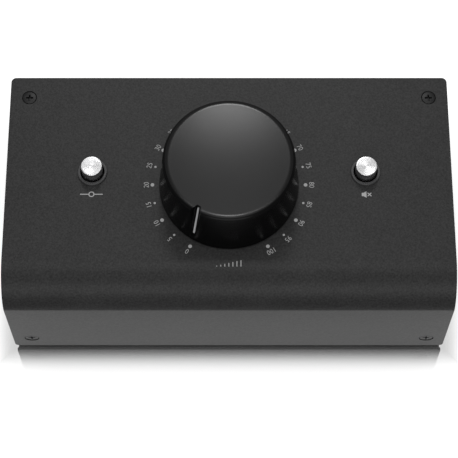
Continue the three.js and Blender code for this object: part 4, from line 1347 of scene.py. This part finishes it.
@dataclass
class LevelKnob:
    """The moulded level knob with a satin top, and the light pointer in its slanted notch."""

    lift: float = 0.5
    base_radius: float = 23.4
    top_radius: float = 21.7
    rim_height: float = 20.8
    edge: float = 2.3
    edge_drop: float = 1.4
    edge_start_degrees: float = 3.0
    edge_stop_degrees: float = 27.0
    foot_edge: float = 0.3
    dome_rise: float = 0.55
    wall: float = 3.0
    roof: float = 2.55
    hub_radius: float = 5.6
    hub_lift: float = 6.0
    rib: float = 1.3
    rib_count: int = 6
    rib_lift: float = 8.0
    bore_radius: float = 3.08
    bore_flat: float = 1.58
    bore_top: float = 16.48
    foot_inset: float = 0.5
    foot_height: float = 5.8
    top_inset: float = 2.35
    top_drop: float = 0.8
    pointer_width: float = 0.56
    pointer_proud: float = 0.25
    pointer_sunk: float = 0.5
    pointer_play: float = 0.05
    pointer_end: float = 0.3
    notch_floor: float = 1.3
    notch_rim: float = 3.4
    notch_depth: float = 2.05
    start_degrees: float = 150.0
    edge_steps: int = 24
    dome_steps: int = 14

    def __post_init__(self) -> None:
        """Finds the knob's place: its axis, on the panel, turned to the start of the scale."""
        panel = NodeBox.of("top_cover").high.z
        turned = Matrix.Rotation(math.radians(self.start_degrees), 4, "Z")
        self.place = Matrix.Translation((0, 0, panel)) @ turned
        self.crown_radius = self.top_radius - self.edge

    def outer(self) -> Solid:
        """Turns the knob's outer shape.

        Returns:
            The shape, without its hollow, bore and notch.
        """
        steps = (self.edge_steps, self.dome_steps)
        edge = (self.edge, self.edge_drop)
        dome = crown_profile(self.crown_radius, self.rim_height, edge, self.dome_rise, steps)
        knob = Solid.turned([(0, self.lift), (self.base_radius, self.lift), *dome], Turn.KNOB)
        return knob.round_ring(self.base_radius, self.lift, self.foot_edge, Facets.SMALL)

    def hollow(self) -> Solid:
        """Makes the cavity under the knob's roof, round its hub and ribs.

        Returns:
            The tool that cuts it.
        """
        ceiling = self.rim_height - self.roof
        base = self.base_radius - self.wall
        top = self.top_radius - self.wall
        profile = [(0, -OVERRUN), (base, -OVERRUN), (base, self.lift), (top, ceiling), (0, ceiling)]
        left = Solid.turned(profile, Turn.HOLLOW)
        left.cut(Solid.post(self.hub_radius, self.hub_lift, self.rim_height))
        reach = self.base_radius
        half = self.rib / 2
        for i in range(self.rib_count // 2):
            rib = Solid.block((-reach, -half, self.rib_lift), (reach, half, self.rib_lift + self.rim_height))
            left.cut(rib.moved(Matrix.Rotation(math.tau * i / self.rib_count, 4, "Z")))
        return left

    def bore(self) -> Solid:
        """Makes the bore that fits the round and the flat of the shaft.

        Returns:
            The tool that cuts it.
        """
        radius = self.bore_radius
        hole = Solid.post(radius, -OVERRUN, self.bore_top)
        beyond = (radius + OVERRUN, radius, self.rim_height)
        flat = Solid.block((self.bore_flat, -radius, -OVERRUN - OVERRUN), beyond)
        return hole.cut(flat)

    def notch_lines(self) -> tuple[Vector, Vector, Vector, float]:
        """Gives the line of the notch's floor.

        Returns:
            Its start, its direction, its outward normal and its length.
        """
        foot = Vector((0, self.base_radius - self.foot_inset, self.foot_height))
        top = Vector((0, self.top_radius - self.top_inset, self.rim_height - self.top_drop))
        along = (top - foot).normalized()
        outward = along.cross(Vector((1, 0, 0)))
        return foot, along, outward, (top - foot).length

    def notch(self) -> Solid:
        """Makes the tool that cuts the slanted notch.

        Returns:
            The tool.
        """
        foot, along, outward, length = self.notch_lines()
        spread = (self.notch_rim - self.notch_floor) / 2 / self.notch_depth
        reach = self.edge + self.notch_depth
        floor = self.notch_floor / 2
        mouth = floor + spread * reach
        outline = [(-floor, 0), (floor, 0), (mouth, reach), (-mouth, reach)]
        tool = Solid.prism(outline, -OVERRUN, length + self.edge + OVERRUN)
        basis = Matrix(((1, 0, 0), tuple(outward), tuple(along))).transposed().to_4x4()
        return tool.moved(Matrix.Translation(foot) @ basis)

    def strip(self, play: float, low: float, high: float) -> Solid:
        """Makes a strip with round ends along the notch's floor.

        Args:
            play: How much wider than the pointer it is on every side.
            low: Depth of its underside from the floor, negative below it.
            high: Height of its upper side from the floor.

        Returns:
            The strip.
        """
        foot, along, outward, length = self.notch_lines()
        width = self.pointer_width + 2 * play
        strip = Solid.plate(width, length - 2 * self.pointer_end + 2 * play, width / 2 - WELD, -high, -low)
        basis = Matrix(((1, 0, 0), tuple(along), tuple(-outward))).transposed().to_4x4()
        return strip.moved(Matrix.Translation(foot + along * (length / 2)) @ basis)

    def zone(self, centre: Vector, normal: Vector) -> KnobFinish:
        """Tells which of the knob's finishes a face has.

        Args:
            centre: The face's centre.
            normal: Its outward direction.

        Returns:
            The finish.
        """
        tilt = math.degrees(math.acos(min(1.0, max(-1.0, normal.z))))
        if centre.z < self.rim_height - self.edge_drop or tilt > self.edge_stop_degrees:
            return KnobFinish.SIDE
        if centre.xy.length > self.crown_radius and tilt > self.edge_start_degrees:
            return KnobFinish.EDGE
        return KnobFinish.CROWN

    def build(self) -> None:
        """Makes the knob and its pointer."""
        slot = self.strip(self.pointer_play, -self.pointer_sunk - self.pointer_play, OVERRUN)
        knob = self.outer().cut(self.hollow(), self.bore(), self.notch(), slot)
        for face in knob.bm.faces:
            face.material_index = self.zone(face.calc_center_median(), face.normal)
        knob.moved(self.place)
        knob.stand_for("level_knob", [KNOB_SIDE, KNOB_TOP, KNOB_EDGE], "knob_plastic", "level_control")
        pointer = self.strip(0.0, -self.pointer_sunk, self.pointer_proud)
        pointer.moved(self.place).stand_for("knob_pointer", [POINTER], "pointer_silver", "level_control")


@dataclass
class PushButton:
    """A push button: a turned silver cap, its dark collar and the return spring under it."""

    name: str
    cap_edge: float = 0.2
    cap_roof: float = 1.4
    cap_dish: float = 0.06
    cap_steps: tuple[int, int] = (8, 5)
    cap_colour: Triple = (0.73, 0.73, 0.735)
    stem_side: float = 3.4
    collar_height: float = 0.8
    collar_edge: float = 0.3
    collar_bore: float = 4.05
    barrel: float = 4.5
    barb: float = 0.25
    barb_height: float = 0.9
    sheet: float = SHEET
    play: float = 0.1
    spring_wire: float = 0.22
    spring_turns: int = 4
    travel: float = 2.5

    def build_cap(self) -> None:
        """Makes the cap with a rounded edge and a shallow dished top."""
        node = f"{self.name}_button_cap"
        box = NodeBox.of(node)
        radius = box.size.x / 2
        top = box.high.z
        bottom = box.low.z
        edge = (self.cap_edge, self.cap_edge)
        crown = crown_profile(radius - self.cap_edge, top, edge, -self.cap_dish, self.cap_steps)
        cap = Solid.turned([(0, bottom), (radius, bottom), *crown])
        half = self.stem_side / 2
        cap.cut(Solid.block((-half, -half, bottom - OVERRUN), (half, half, top - self.cap_roof)))
        # The cap's finish paints a sheen into its colour: lighter and darker wedges about the cap's axis
        # stand in for the reflection of turned metal.
        finish = TurnedMetal(
            f"{self.name}_cap_silver", self.cap_colour, 0.3, metallic=1.0, relief=0.008,
            centre=(box.middle.x, box.middle.y),
        )
        cap.moved(box.upright()).stand_for(node, [finish], "cap_silver", f"{self.name}_button")

    def build_collar(self) -> None:
        """Makes the collar with its rim on the panel and its barbed barrel below."""
        node = f"{self.name}_button_collar"
        box = NodeBox.of(node)
        radius = box.size.x / 2
        top = box.high.z
        panel = top - self.collar_height
        barb_top = panel - self.sheet - self.play
        profile = [
            (self.collar_bore, box.low.z),
            (self.barrel, box.low.z),
            (self.barrel + self.barb, barb_top - self.barb_height),
            (self.barrel + self.barb, barb_top),
            (self.barrel, barb_top),
            (self.barrel, panel),
            (radius, panel),
            (radius, top),
            (self.collar_bore, top),
        ]
        collar = Solid.turned(profile, ring=True)
        collar.round_ring(radius, top, self.collar_edge, Facets.LARGE)
        collar.round_ring(self.collar_bore, top, self.play, Facets.SMALL)
        collar.moved(box.upright()).stand_for(node, [COLLAR], "collar_plastic")

    def build_spring(self) -> None:
        """Makes the return spring and gives it a mesh of its own."""
        node = f"{self.name}_switch_spring"
        box = NodeBox.of(node)
        wire = self.spring_wire
        radius = box.size.x / 2 - wire
        spring = Solid.wound(radius, wire, box.low.z + wire, box.high.z - wire, self.spring_turns)
        made = spring.moved(box.upright()).stand_for(node, [PLATED], "bright_metal")
        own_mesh(made)

    def build(self) -> None:
        """Makes the cap, its collar and the spring under it."""
        self.build_cap()
        self.build_collar()
        self.build_spring()


class SocketKind(Enum):
    """The two kinds of rear socket."""

    COMBO = "contact_block"
    PINS = "pin_insert"


@dataclass
class RearSocket:
    """A rear socket: a moulded shell with a flange behind the wall and a round nose through it."""

    SCREWS: ClassVar[tuple[str, str]] = ("upper", "lower")

    name: str
    kind: SocketKind
    sheet: float = SHEET
    overhang: float = 0.6
    nose_radius: float = 11.8
    nose_edge: float = 0.5
    flange: Point = (26.0, 31.0)
    flange_corner: float = 2.5
    flange_thickness: float = 3.0
    housing: Point = (25.0, 27.5)
    screw_place: Point = (9.5, 12.0)
    screw_hole: float = 1.5
    screw_depth: float = 4.95
    combo_bore: float = 9.7
    combo_back: float = 3.55
    block_radius: float = 7.7
    block_recess: float = 2.5
    block_bore: float = 3.3
    block_edge: float = 0.4
    block_back: float = 2.0
    block_hole: float = 1.4
    block_hole_depth: float = 11.0
    pin_bore: float = 9.4
    pin_depth: float = 15.0
    key_width: float = 4.0
    key_depth: float = 1.0
    insert_radius: float = 9.2
    insert_thickness: float = 3.0
    pin_radius: float = 1.2
    pin_length: float = 10.5
    pin_tip: float = 0.5
    contact_circle: float = 5.5
    contact_degrees: Triple = (15.0, 165.0, 270.0)

    @classmethod
    def all(cls) -> list[RearSocket]:
        """Gives the four rear sockets."""
        combos = [cls(f"combo_input_{side}", SocketKind.COMBO) for side, _ in SIDES]
        return combos + [cls(f"xlr_output_{side}", SocketKind.PINS) for side, _ in SIDES]

    def __post_init__(self) -> None:
        """Finds the socket's place in the rear wall."""
        box = NodeBox.of(f"{self.name}_shell")
        self.x = box.middle.x
        self.z = box.middle.z
        self.nose_length = self.sheet + self.overhang
        self.wall = box.high.y - self.nose_length
        self.depth = self.wall - box.low.y
        self.place = Axis.REAR.placed(self.x, self.wall, self.z)

    def contacts(self) -> list[Point]:
        """Gives the places of the three contacts.

        Returns:
            X and Y of each.
        """
        radius = self.contact_circle
        angles = [math.radians(degrees) for degrees in self.contact_degrees]
        return [(radius * math.cos(angle), radius * math.sin(angle)) for angle in angles]

    def shell(self, bore: float, depth: float) -> Solid:
        """Makes the shell about Z, with the rear wall's inner face at height 0 and the nose up.

        Args:
            bore: Radius of the bore.
            depth: Its depth below height 0.

        Returns:
            The shell.
        """
        root = -self.flange_thickness / 2
        top = self.nose_length
        nose = Solid.post(self.nose_radius, root, top, Turn.NOSE)
        nose.round_ring(self.nose_radius, top, self.nose_edge, Facets.LARGE)
        shell = Solid.plate(*self.flange, self.flange_corner, -self.flange_thickness, 0)
        shell.join(nose, Solid.plate(*self.housing, self.flange_corner, -self.depth, root))
        across, up = self.screw_place
        for sign in (1, -1):
            hole = Solid.post(self.screw_hole, -self.screw_depth, OVERRUN, Turn.BORE)
            shell.cut(hole.moved(Matrix.Translation((sign * across, sign * up, 0))))
        return shell.cut(Solid.post(bore, -depth, top + OVERRUN, Turn.WIDE))

    def combo_block(self) -> Solid:
        """Makes the block of a combination socket: a jack bore and three pin holes round it.

        Returns:
            The block about Z.
        """
        bottom = self.combo_back - self.depth
        top = self.nose_length - self.block_recess
        block = Solid.post(self.block_radius, bottom, top, Turn.WIDE)
        block.round_ring(self.block_radius, top, self.block_edge, Facets.MIDDLE)
        block.cut(Solid.post(self.block_bore, bottom + self.block_back, top + OVERRUN))
        for x, y in self.contacts():
            hole = Solid.post(self.block_hole, top - self.block_hole_depth, top + OVERRUN, Turn.SMALL_POST)
            block.cut(hole.moved(Matrix.Translation((x, y, 0))))
        return block

    def pin_insert(self) -> Solid:
        """Makes the insert with its three pins.

        Returns:
            The insert about Z.
        """
        face = self.insert_thickness - self.pin_depth
        tip = face + self.pin_length
        insert = Solid.post(self.insert_radius, -self.pin_depth, face, Turn.WIDE)
        for x, y in self.contacts():
            pin = Solid.post(self.pin_radius, face - self.pin_tip, tip, Turn.SMALL_POST)
            pin.round_ring(self.pin_radius, tip, self.pin_tip, Facets.MIDDLE)
            insert.join(pin.moved(Matrix.Translation((x, y, 0))))
        return insert

    def is_pin(self, centre: Vector, _: Vector) -> int:
        """Gives 1 for the faces of the metal pins."""
        face = self.wall + self.insert_thickness - self.pin_depth
        return int(centre.y > face + WELD)

    def build(self) -> None:
        """Makes the shell, what it holds and its two screws."""
        finishes = [MOULDING]
        chosen = None
        if self.kind is SocketKind.COMBO:
            shell = self.shell(self.combo_bore, self.depth - self.combo_back)
            inside = self.combo_block()
        else:
            shell = self.shell(self.pin_bore, self.pin_depth)
            half = self.key_width / 2
            face = self.insert_thickness - self.pin_depth
            key_top = self.pin_bore + self.key_depth
            shell.cut(Solid.block((-half, 0, face), (half, key_top, self.nose_length + OVERRUN)))
            inside = self.pin_insert()
            finishes.append(PLATED)
            chosen = self.is_pin
        shell.moved(self.place).stand_for(f"{self.name}_shell", [MOULDING], "socket_black")
        node = f"{self.name}_{self.kind.value}"
        inside.moved(self.place).stand_for(node, finishes, "socket_black", chosen=chosen)
        screw = CountersunkScrew()
        for end in self.SCREWS:
            screw.build(f"{self.name}_screw_{end}", Axis.REAR)


@dataclass
class MiniJack:
    """The small stereo input: a square body with a round nose through the rear wall."""

    sheet: float = SHEET
    overhang: float = 0.6
    root: float = 3.0
    nose_radius: float = 4.0
    nose_edge: float = 0.4
    bore: float = 1.85
    bore_depth: float = 14.0
    bore_edge: float = 0.3
    body_edge: float = 0.4

    def __post_init__(self) -> None:
        """Finds the jack's place in the rear wall."""
        box = NodeBox.of("mini_jack")
        self.x = box.middle.x
        self.z = box.middle.z
        self.side = box.size.x
        self.top = self.sheet + self.overhang
        self.wall = box.high.y - self.top
        self.depth = self.wall - box.low.y

    def build(self) -> None:
        """Makes the jack."""
        jack = Solid.plate(self.side, self.side, self.body_edge, -self.depth, 0)
        nose = Solid.post(self.nose_radius, -self.root, self.top, Turn.JACK_NOSE)
        jack.join(nose.round_ring(self.nose_radius, self.top, self.nose_edge, Facets.MIDDLE))
        rim = self.bore + self.bore_edge
        profile = [
            (0, self.top - self.bore_depth),
            (self.bore, self.top - self.bore_depth),
            (self.bore, self.top - self.bore_edge),
            (rim, self.top),
            (rim, self.top + OVERRUN),
            (0, self.top + OVERRUN),
        ]
        jack.cut(Solid.turned(profile, Turn.POST))
        jack.moved(Axis.REAR.placed(self.x, self.wall, self.z))
        jack.stand_for("mini_jack", [MOULDING], "socket_black")


@dataclass
class PanelPrint:
    """What is printed on the panel: the scale's dots and numbers, and a plain mark for each control."""

    ink: float = 0.02
    dot_circle: float = 25.68
    small_dot: float = 0.39
    large_dot: float = 0.62
    number_circle: float = 27.75
    digit_height: float = 1.7
    narrow_share: float = 0.86
    thin_share: float = 0.004
    spacing_share: float = 1.04
    sweep: float = 300.0
    first: float = -150.0
    top_value: int = 100
    value_step: int = 5
    level_place: Point = (0.0, -28.3)
    level_size: Point = (8.4, 2.2)
    level_bars: int = 7
    mono_place: Point = (-46.05, -3.43)
    mute_place: Point = (46.02, -3.51)
    mono_size: Point = (7.6, 2.0)
    mute_size: Point = (3.2, 2.4)
    line: float = 0.32

    def __post_init__(self) -> None:
        """Finds the height of the panel."""
        self.panel = NodeBox.of("top_cover").high.z
        self.low = self.panel - self.ink
        self.high = self.panel + self.ink

    def angle_of(self, value: int) -> float:
        """Gives the clockwise angle from the rear for a value, in radians."""
        return math.radians(self.first + self.sweep * value / self.top_value)

    def at(self, value: int, radius: float) -> Vector:
        """Gives the place of a value on a circle about the knob."""
        angle = self.angle_of(value)
        return Vector((radius * math.sin(angle), radius * math.cos(angle), 0))

    def dots(self) -> Solid:
        """Makes the scale's dots, larger at every second one.

        Returns:
            The dots.
        """
        made = []
        for value in range(0, self.top_value + 1, self.value_step):
            radius = self.small_dot if value % (2 * self.value_step) else self.large_dot
            dot = Solid.post(radius, self.low, self.high, Turn.DOT)
            made.append(dot.moved(Matrix.Translation(self.at(value, self.dot_circle))))
        return made[0].with_all(made[1:])

    def number(self, text: str) -> Solid:
        """Makes a number about the origin with the scale's digit height.

        Args:
            text: The digits.

        Returns:
            The number as a thin solid.
        """
        curve = bpy.data.curves.new("digits", "FONT")
        curve.body = text
        curve.align_x = "CENTER"
        curve.align_y = "CENTER"
        curve.offset = -self.thin_share
        curve.space_character = self.spacing_share
        curve.extrude = 1
        holder = new_object("digits", curve)
        graph = bpy.context.evaluated_depsgraph_get()
        mesh = bpy.data.meshes.new_from_object(holder.evaluated_get(graph))
        solid = Solid()
        solid.bm.from_mesh(mesh)
        bpy.data.objects.remove(holder)
        bpy.data.curves.remove(curve)
        bpy.data.meshes.remove(mesh)
        bmesh.ops.remove_doubles(solid.bm, verts=solid.bm.verts[:], dist=WELD)
        across = [vert.co.x for vert in solid.bm.verts]
        up = [vert.co.y for vert in solid.bm.verts]
        scale = self.digit_height / (max(up) - min(up))
        middle = Vector(((max(across) + min(across)) / 2, (max(up) + min(up)) / 2, 0))
        sizes = Matrix.Diagonal((scale * self.narrow_share, scale, self.ink, 1))
        return solid.moved(sizes @ Matrix.Translation(-middle))

    def numbers(self) -> Solid:
        """Makes the scale's numbers, with their tops outwards.

        Returns:
            The numbers.
        """
        made = []
        for value in range(0, self.top_value + 1, self.value_step):
            place = self.at(value, self.number_circle)
            place.z = self.panel
            turn = Matrix.Rotation(-self.angle_of(value), 4, "Z")
            made.append(self.number(str(value)).moved(Matrix.Translation(place) @ turn))
        return made[0].with_all(made[1:])

    def level_mark(self) -> Solid:
        """Makes a row of growing bars in front of the knob.

        Returns:
            The mark.
        """
        width, height = self.level_size
        x, y = self.level_place
        pitch = width / (self.level_bars - 1 + self.line)
        made = []
        for i in range(self.level_bars):
            left = x - width / 2 + i * pitch
            top = y - height / 2 + height * (i + 1) / self.level_bars
            made.append(Solid.block((left, y - height / 2, self.low), (left + self.line, top, self.high)))
        return made[0].with_all(made[1:])

    def ring(self, radius: float, x: float, y: float) -> Solid:
        """Makes a flat printed ring.

        Args:
            radius: Its outer radius.
            x: Place along X.
            y: Place along Y.

        Returns:
            The ring.
        """
        inner = radius - self.line
        profile = [(inner, self.low), (radius, self.low), (radius, self.high), (inner, self.high)]
        return Solid.turned(profile, Turn.POST, ring=True).moved(Matrix.Translation((x, y, 0)))

    def mono_mark(self) -> Solid:
        """Makes one ring on a line, the mark of a single channel.

        Returns:
            The mark.
        """
        width, height = self.mono_size
        x, y = self.mono_place
        radius = height / 2
        half = self.line / 2
        made = [self.ring(radius, x, y)]
        for _, side in SIDES:
            inner = x + side * radius
            outer = x + side * width / 2
            low = (min(inner, outer), y - half, self.low)
            made.append(Solid.block(low, (max(inner, outer), y + half, self.high)))
        return made[0].with_all(made[1:])

    def mute_mark(self) -> Solid:
        """Makes a small crossed-out speaker.

        Returns:
            The mark.
        """
        width, height = self.mute_size
        x, y = self.mute_place
        left = x - width / 2
        half = height / 2
        quarter = height / 4
        neck = left + quarter
        outline = [
            (left, y - quarter),
            (neck, y - quarter),
            (x, y - half),
            (x, y + half),
            (neck, y + quarter),
            (left, y + quarter),
        ]
        made = [Solid.prism(outline, self.low, self.high)]
        reach = quarter * math.sqrt(2)
        middle = Matrix.Translation((x + width / 2 - quarter, y, 0))
        for sign in (1, -1):
            bar = Solid.block((-reach, -self.line / 2, self.low), (reach, self.line / 2, self.high))
            made.append(bar.moved(middle @ Matrix.Rotation(sign * math.pi / 4, 4, "Z")))
        return made[0].with_all([made[1].join(made[2])])

    def build(self) -> None:
        """Makes the printed pieces."""
        prints = {
            "scale_dots": self.dots,
            "scale_numbers": self.numbers,
            "level_mark": self.level_mark,
            "mono_mark": self.mono_mark,
            "mute_mark": self.mute_mark,
        }
        for name, make in prints.items():
            make().piece(name, [INK], "casing_paint")


@dataclass(frozen=True)
class InnerParts:
    """The parts inside the casing, whose solids are shown as they are."""

    gangs: int = 4

    def finishes(self) -> dict[str, Finish]:
        """Gives the finish of each inner node.

        Returns:
            The finishes by the names of the nodes.
        """
        found = {name: PLATED for name in ("pot_shaft", "pot_bushing", "pot_frame", "pot_washer", "pot_nut")}
        found.update({f"pot_gang_{i + 1}": WAFER for i in range(self.gangs)})
        found["main_board"] = BOARD
        for name in BUTTONS:
            found[f"{name}_switch_plunger"] = MOULDING
            found[f"{name}_switch_body"] = MOULDING
            found[f"{name}_switch_board"] = BOARD
            found[f"{name}_switch_lead"] = LEAD
            for end in ENDS:
                found[f"{name}_board_screw_{end}"] = OXIDE
        return found

    def dress(self, nodes: dict[str, bpy.types.Object]) -> None:
        """Gives each inner node its material.

        Args:
            nodes: The frame's objects by name.
        """
        for name, finish in self.finishes().items():
            node = nodes[name]
            if not node.material_slots:
                node.data.materials.append(finish.material())
            for slot in node.material_slots:
                slot.material = finish.material()
            LOG.info("%s: dressed with %s", name, finish.name)


@dataclass(frozen=True)
class Lamp:
    """A soft area lamp that faces the object and isn't seen by the camera."""

    name: str
    place: Triple
    size: Point
    radiance: float
    aim: Triple = (0.0, 0.0, 0.05)

    def build(self) -> None:
        """Makes the lamp; its power follows from its radiance and its area."""
        width, height = self.size
        data = bpy.data.lights.new(self.name, "AREA")
        data.shape = "RECTANGLE"
        data.size = width
        data.size_y = height
        data.energy = self.radiance * math.pi * width * height
        lamp = new_object(self.name, data)
        aim_from(lamp, self.place, self.aim)
        lamp.visible_camera = False


LAMPS = (
    Lamp("rear_softbox", (0.0, 0.554, 0.78), (0.17, 0.2), 11.2),
    Lamp("overhead_strip", (0.0, -0.01, 0.9), (0.14, 0.05), 22.0),
    Lamp("wide_strip", (0.0, -0.01, 0.9), (1.2, 0.03), 4.0),
    Lamp("front_softbox", (0.0, -0.8, 0.43), (0.8, 0.36), 2.1),
)


@dataclass(frozen=True)
class Studio:
    """Pale floor, soft light and a camera at the photograph's viewing angle, in metres."""

    camera_place: Triple = (0.0, -0.23416, 0.57058)
    camera_aim: Triple = (0.0, -0.0086164, 0.049576)
    lens: float = 133.82
    sensor: float = 36.0
    shift: float = -0.04473
    floor_radius: float = 4.0
    floor_white: float = 0.8
    floor_glow: float = 0.6
    mirror_reach: float = 0.0055
    mirror_most: float = 0.97
    mirror_blur: float = 0.02
    sky: float = 0.55
    flag_near: float = 0.026
    flag_far: float = 1.0
    flag_lift: float = 0.001
    flag_tone: float = 0.25
    tent_beside: float = 2.1
    tent_before: float = 1.2
    tent_detail: int = 5

    def build_camera(self) -> None:
        """Places the camera."""
        data = bpy.data.cameras.new("camera")
        data.lens = self.lens
        data.sensor_width = self.sensor
        data.shift_y = self.shift
        camera = new_object("camera", data)
        aim_from(camera, self.camera_place, self.camera_aim)
        bpy.context.scene.camera = camera

    def build_world(self) -> None:
        """Makes the world: white to see and in gloss, and a soft even light."""
        world = bpy.data.worlds.new("studio")
        bpy.context.scene.world = world
        world.use_nodes = True
        sheet = NodeSheet(world.node_tree)
        path = sheet.node("ShaderNodeLightPath")
        strength = self.sky + sheet.any_of(path, *SEEN_RAYS) * (1 - self.sky)
        shade = sheet.signal("ShaderNodeBackground", inputs={"Color": WHITE, "Strength": strength})
        sheet.node("ShaderNodeOutputWorld", inputs={"Surface": shade})

    def floor_material(self) -> bpy.types.Material:
        """Makes the floor's pale material, with a mirror image that fades away from the object.

        Returns:
            The material.
        """
        material, sheet = new_material("pale_floor")
        cover = NodeBox.of("top_cover")
        x, y, _ = sheet.axes(sheet.object_place())
        beside = sheet.measured("ABSOLUTE", x) - cover.high.x * MM
        before = sheet.measured("ABSOLUTE", y) - cover.high.y * MM
        outside = sheet.combine("MAXIMUM", sheet.combine("MAXIMUM", beside, before), 0.0)
        fall = outside * outside * (-1 / self.mirror_reach ** 2)
        path = sheet.node("ShaderNodeLightPath")
        mirror = sheet.measured("EXPONENT", fall) * self.mirror_most * sheet.any_of(path, "Is Camera Ray")
        strength = sheet.any_of(path, *SEEN_RAYS) * self.floor_glow
        matt = sheet.signal("ShaderNodeBsdfDiffuse", inputs={"Color": (self.floor_white,) * 3})
        glow = sheet.signal("ShaderNodeEmission", inputs={"Color": WHITE, "Strength": strength})
        lit = sheet.signal("ShaderNodeAddShader", inputs={0: matt, 1: glow})
        gloss = sheet.signal("ShaderNodeBsdfGlossy", inputs={"Color": WHITE, "Roughness": self.mirror_blur})
        shade = sheet.signal("ShaderNodeMixShader", inputs={0: mirror, 1: lit, 2: gloss})
        sheet.node("ShaderNodeOutputMaterial", inputs={"Surface": shade})
        return material

    def build_floor(self) -> None:
        """Makes the floor as a wide disc."""
        bm = bmesh.new()
        bmesh.ops.create_circle(bm, cap_ends=True, radius=self.floor_radius, segments=Turn.WIDE)
        floor = self.stage_piece("floor", bm)
        floor.data.materials.append(self.floor_material())

    def dim_material(
        self, name: str, sheet_share: Callable[[NodeSheet], Signal | float]
    ) -> bpy.types.Material:
        """Makes a material that dims the white surroundings to grey.

        Args:
            name: The material's name.
            sheet_share: Gives on a node sheet how much of the white is dimmed, from 0 to 1.

        Returns:
            The material.
        """
        material, sheet = new_material(name)
        clear = sheet.signal("ShaderNodeBsdfTransparent", inputs={"Color": WHITE})
        grey = sheet.signal("ShaderNodeEmission", inputs={"Color": WHITE, "Strength": self.flag_tone})
        shade = sheet.signal("ShaderNodeMixShader", inputs={0: sheet_share(sheet), 1: clear, 2: grey})
        sheet.node("ShaderNodeOutputMaterial", inputs={"Surface": shade})
        return material

    def tent_share(self, sheet: NodeSheet) -> Signal:
        """Dims more to the sides and to the front than overhead.

        Args:
            sheet: The material's node sheet.

        Returns:
            How much is dimmed, from 0 to 1.
        """
        x, y, _ = sheet.axes(sheet.object_place())
        beside = sheet.measured("ABSOLUTE", x) * (self.tent_beside / self.flag_far)
        before = y * y * (self.tent_before / self.flag_far ** 2)
        return sheet.limited(beside + before)

    def build_flag(self) -> None:
        """Makes the grey flag on the floor round the object, which only gloss sees."""
        cover = NodeBox.of("top_cover")
        half = Vector((cover.high.x * MM + self.flag_near, cover.high.y * MM + self.flag_near, 1))
        place = Matrix.LocRotScale((0, 0, self.flag_lift), None, half)
        bm = bmesh.new()
        bmesh.ops.create_grid(bm, x_segments=1, y_segments=1, size=1, matrix=place)
        middle = bm.faces[:]
        wide = bmesh.ops.extrude_edge_only(bm, edges=bm.edges[:])["geom"]
        corners = [item for item in wide if isinstance(item, bmesh.types.BMVert)]
        bmesh.ops.scale(bm, verts=corners, vec=(self.flag_far / half.x, self.flag_far / half.y, 1))
        bmesh.ops.delete(bm, geom=middle, context="FACES_ONLY")
        flag = self.stage_piece("grey_flag", bm)
        flag.data.materials.append(self.dim_material("flag_grey", lambda sheet: 1.0))
        self.show_to_gloss(flag)

    def build_tent(self) -> None:
        """Makes the dim half dome over the stage, which only gloss sees."""
        bm = bmesh.new()
        bmesh.ops.create_icosphere(bm, subdivisions=self.tent_detail, radius=self.flag_far)
        low = [vertex for vertex in bm.verts if vertex.co.z < -OVERRUN * MM]
        bmesh.ops.delete(bm, geom=low, context="VERTS")
        tent = self.stage_piece("dim_tent", bm)
        tent.data.materials.append(self.dim_material("tent_grey", self.tent_share))
        self.show_to_gloss(tent)

    @staticmethod
    def show_to_gloss(piece: bpy.types.Object) -> None:
        """Hides a piece from all but gloss.

        Args:
            piece: The stage piece.
        """
        piece.visible_camera = False
        piece.visible_diffuse = False
        piece.visible_shadow = False
        piece.visible_transmission = False

    def stage_piece(self, name: str, bm: bmesh.types.BMesh) -> bpy.types.Object:
        """Makes a stage object from a mesh that is in metres.

        Args:
            name: Its name.
            bm: The mesh, which is freed.

        Returns:
            The object.
        """
        mesh = bpy.data.meshes.new(name)
        bm.to_mesh(mesh)
        bm.free()
        made = new_object(name, mesh)
        return made

    def build(self) -> None:
        """Makes the camera, the stage and the lamps."""
        bpy.context.scene.view_settings.view_transform = "Standard"
        self.build_camera()
        self.build_world()
        self.build_floor()
        self.build_flag()
        self.build_tent()
        for lamp in LAMPS:
            lamp.build()


def main() -> None:
    """Builds the whole scene."""
    logging.basicConfig(level=logging.INFO, format="%(name)s: %(message)s")
    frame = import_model()
    Studio().build()
    Casing().build()
    LevelKnob().build()
    for name in BUTTONS:
        PushButton(name).build()
    for socket in RearSocket.all():
        socket.build()
    MiniJack().build()
    PanelPrint().build()
    InnerParts().dress(frame["nodes"])


if __name__ == "__main__":
    main()
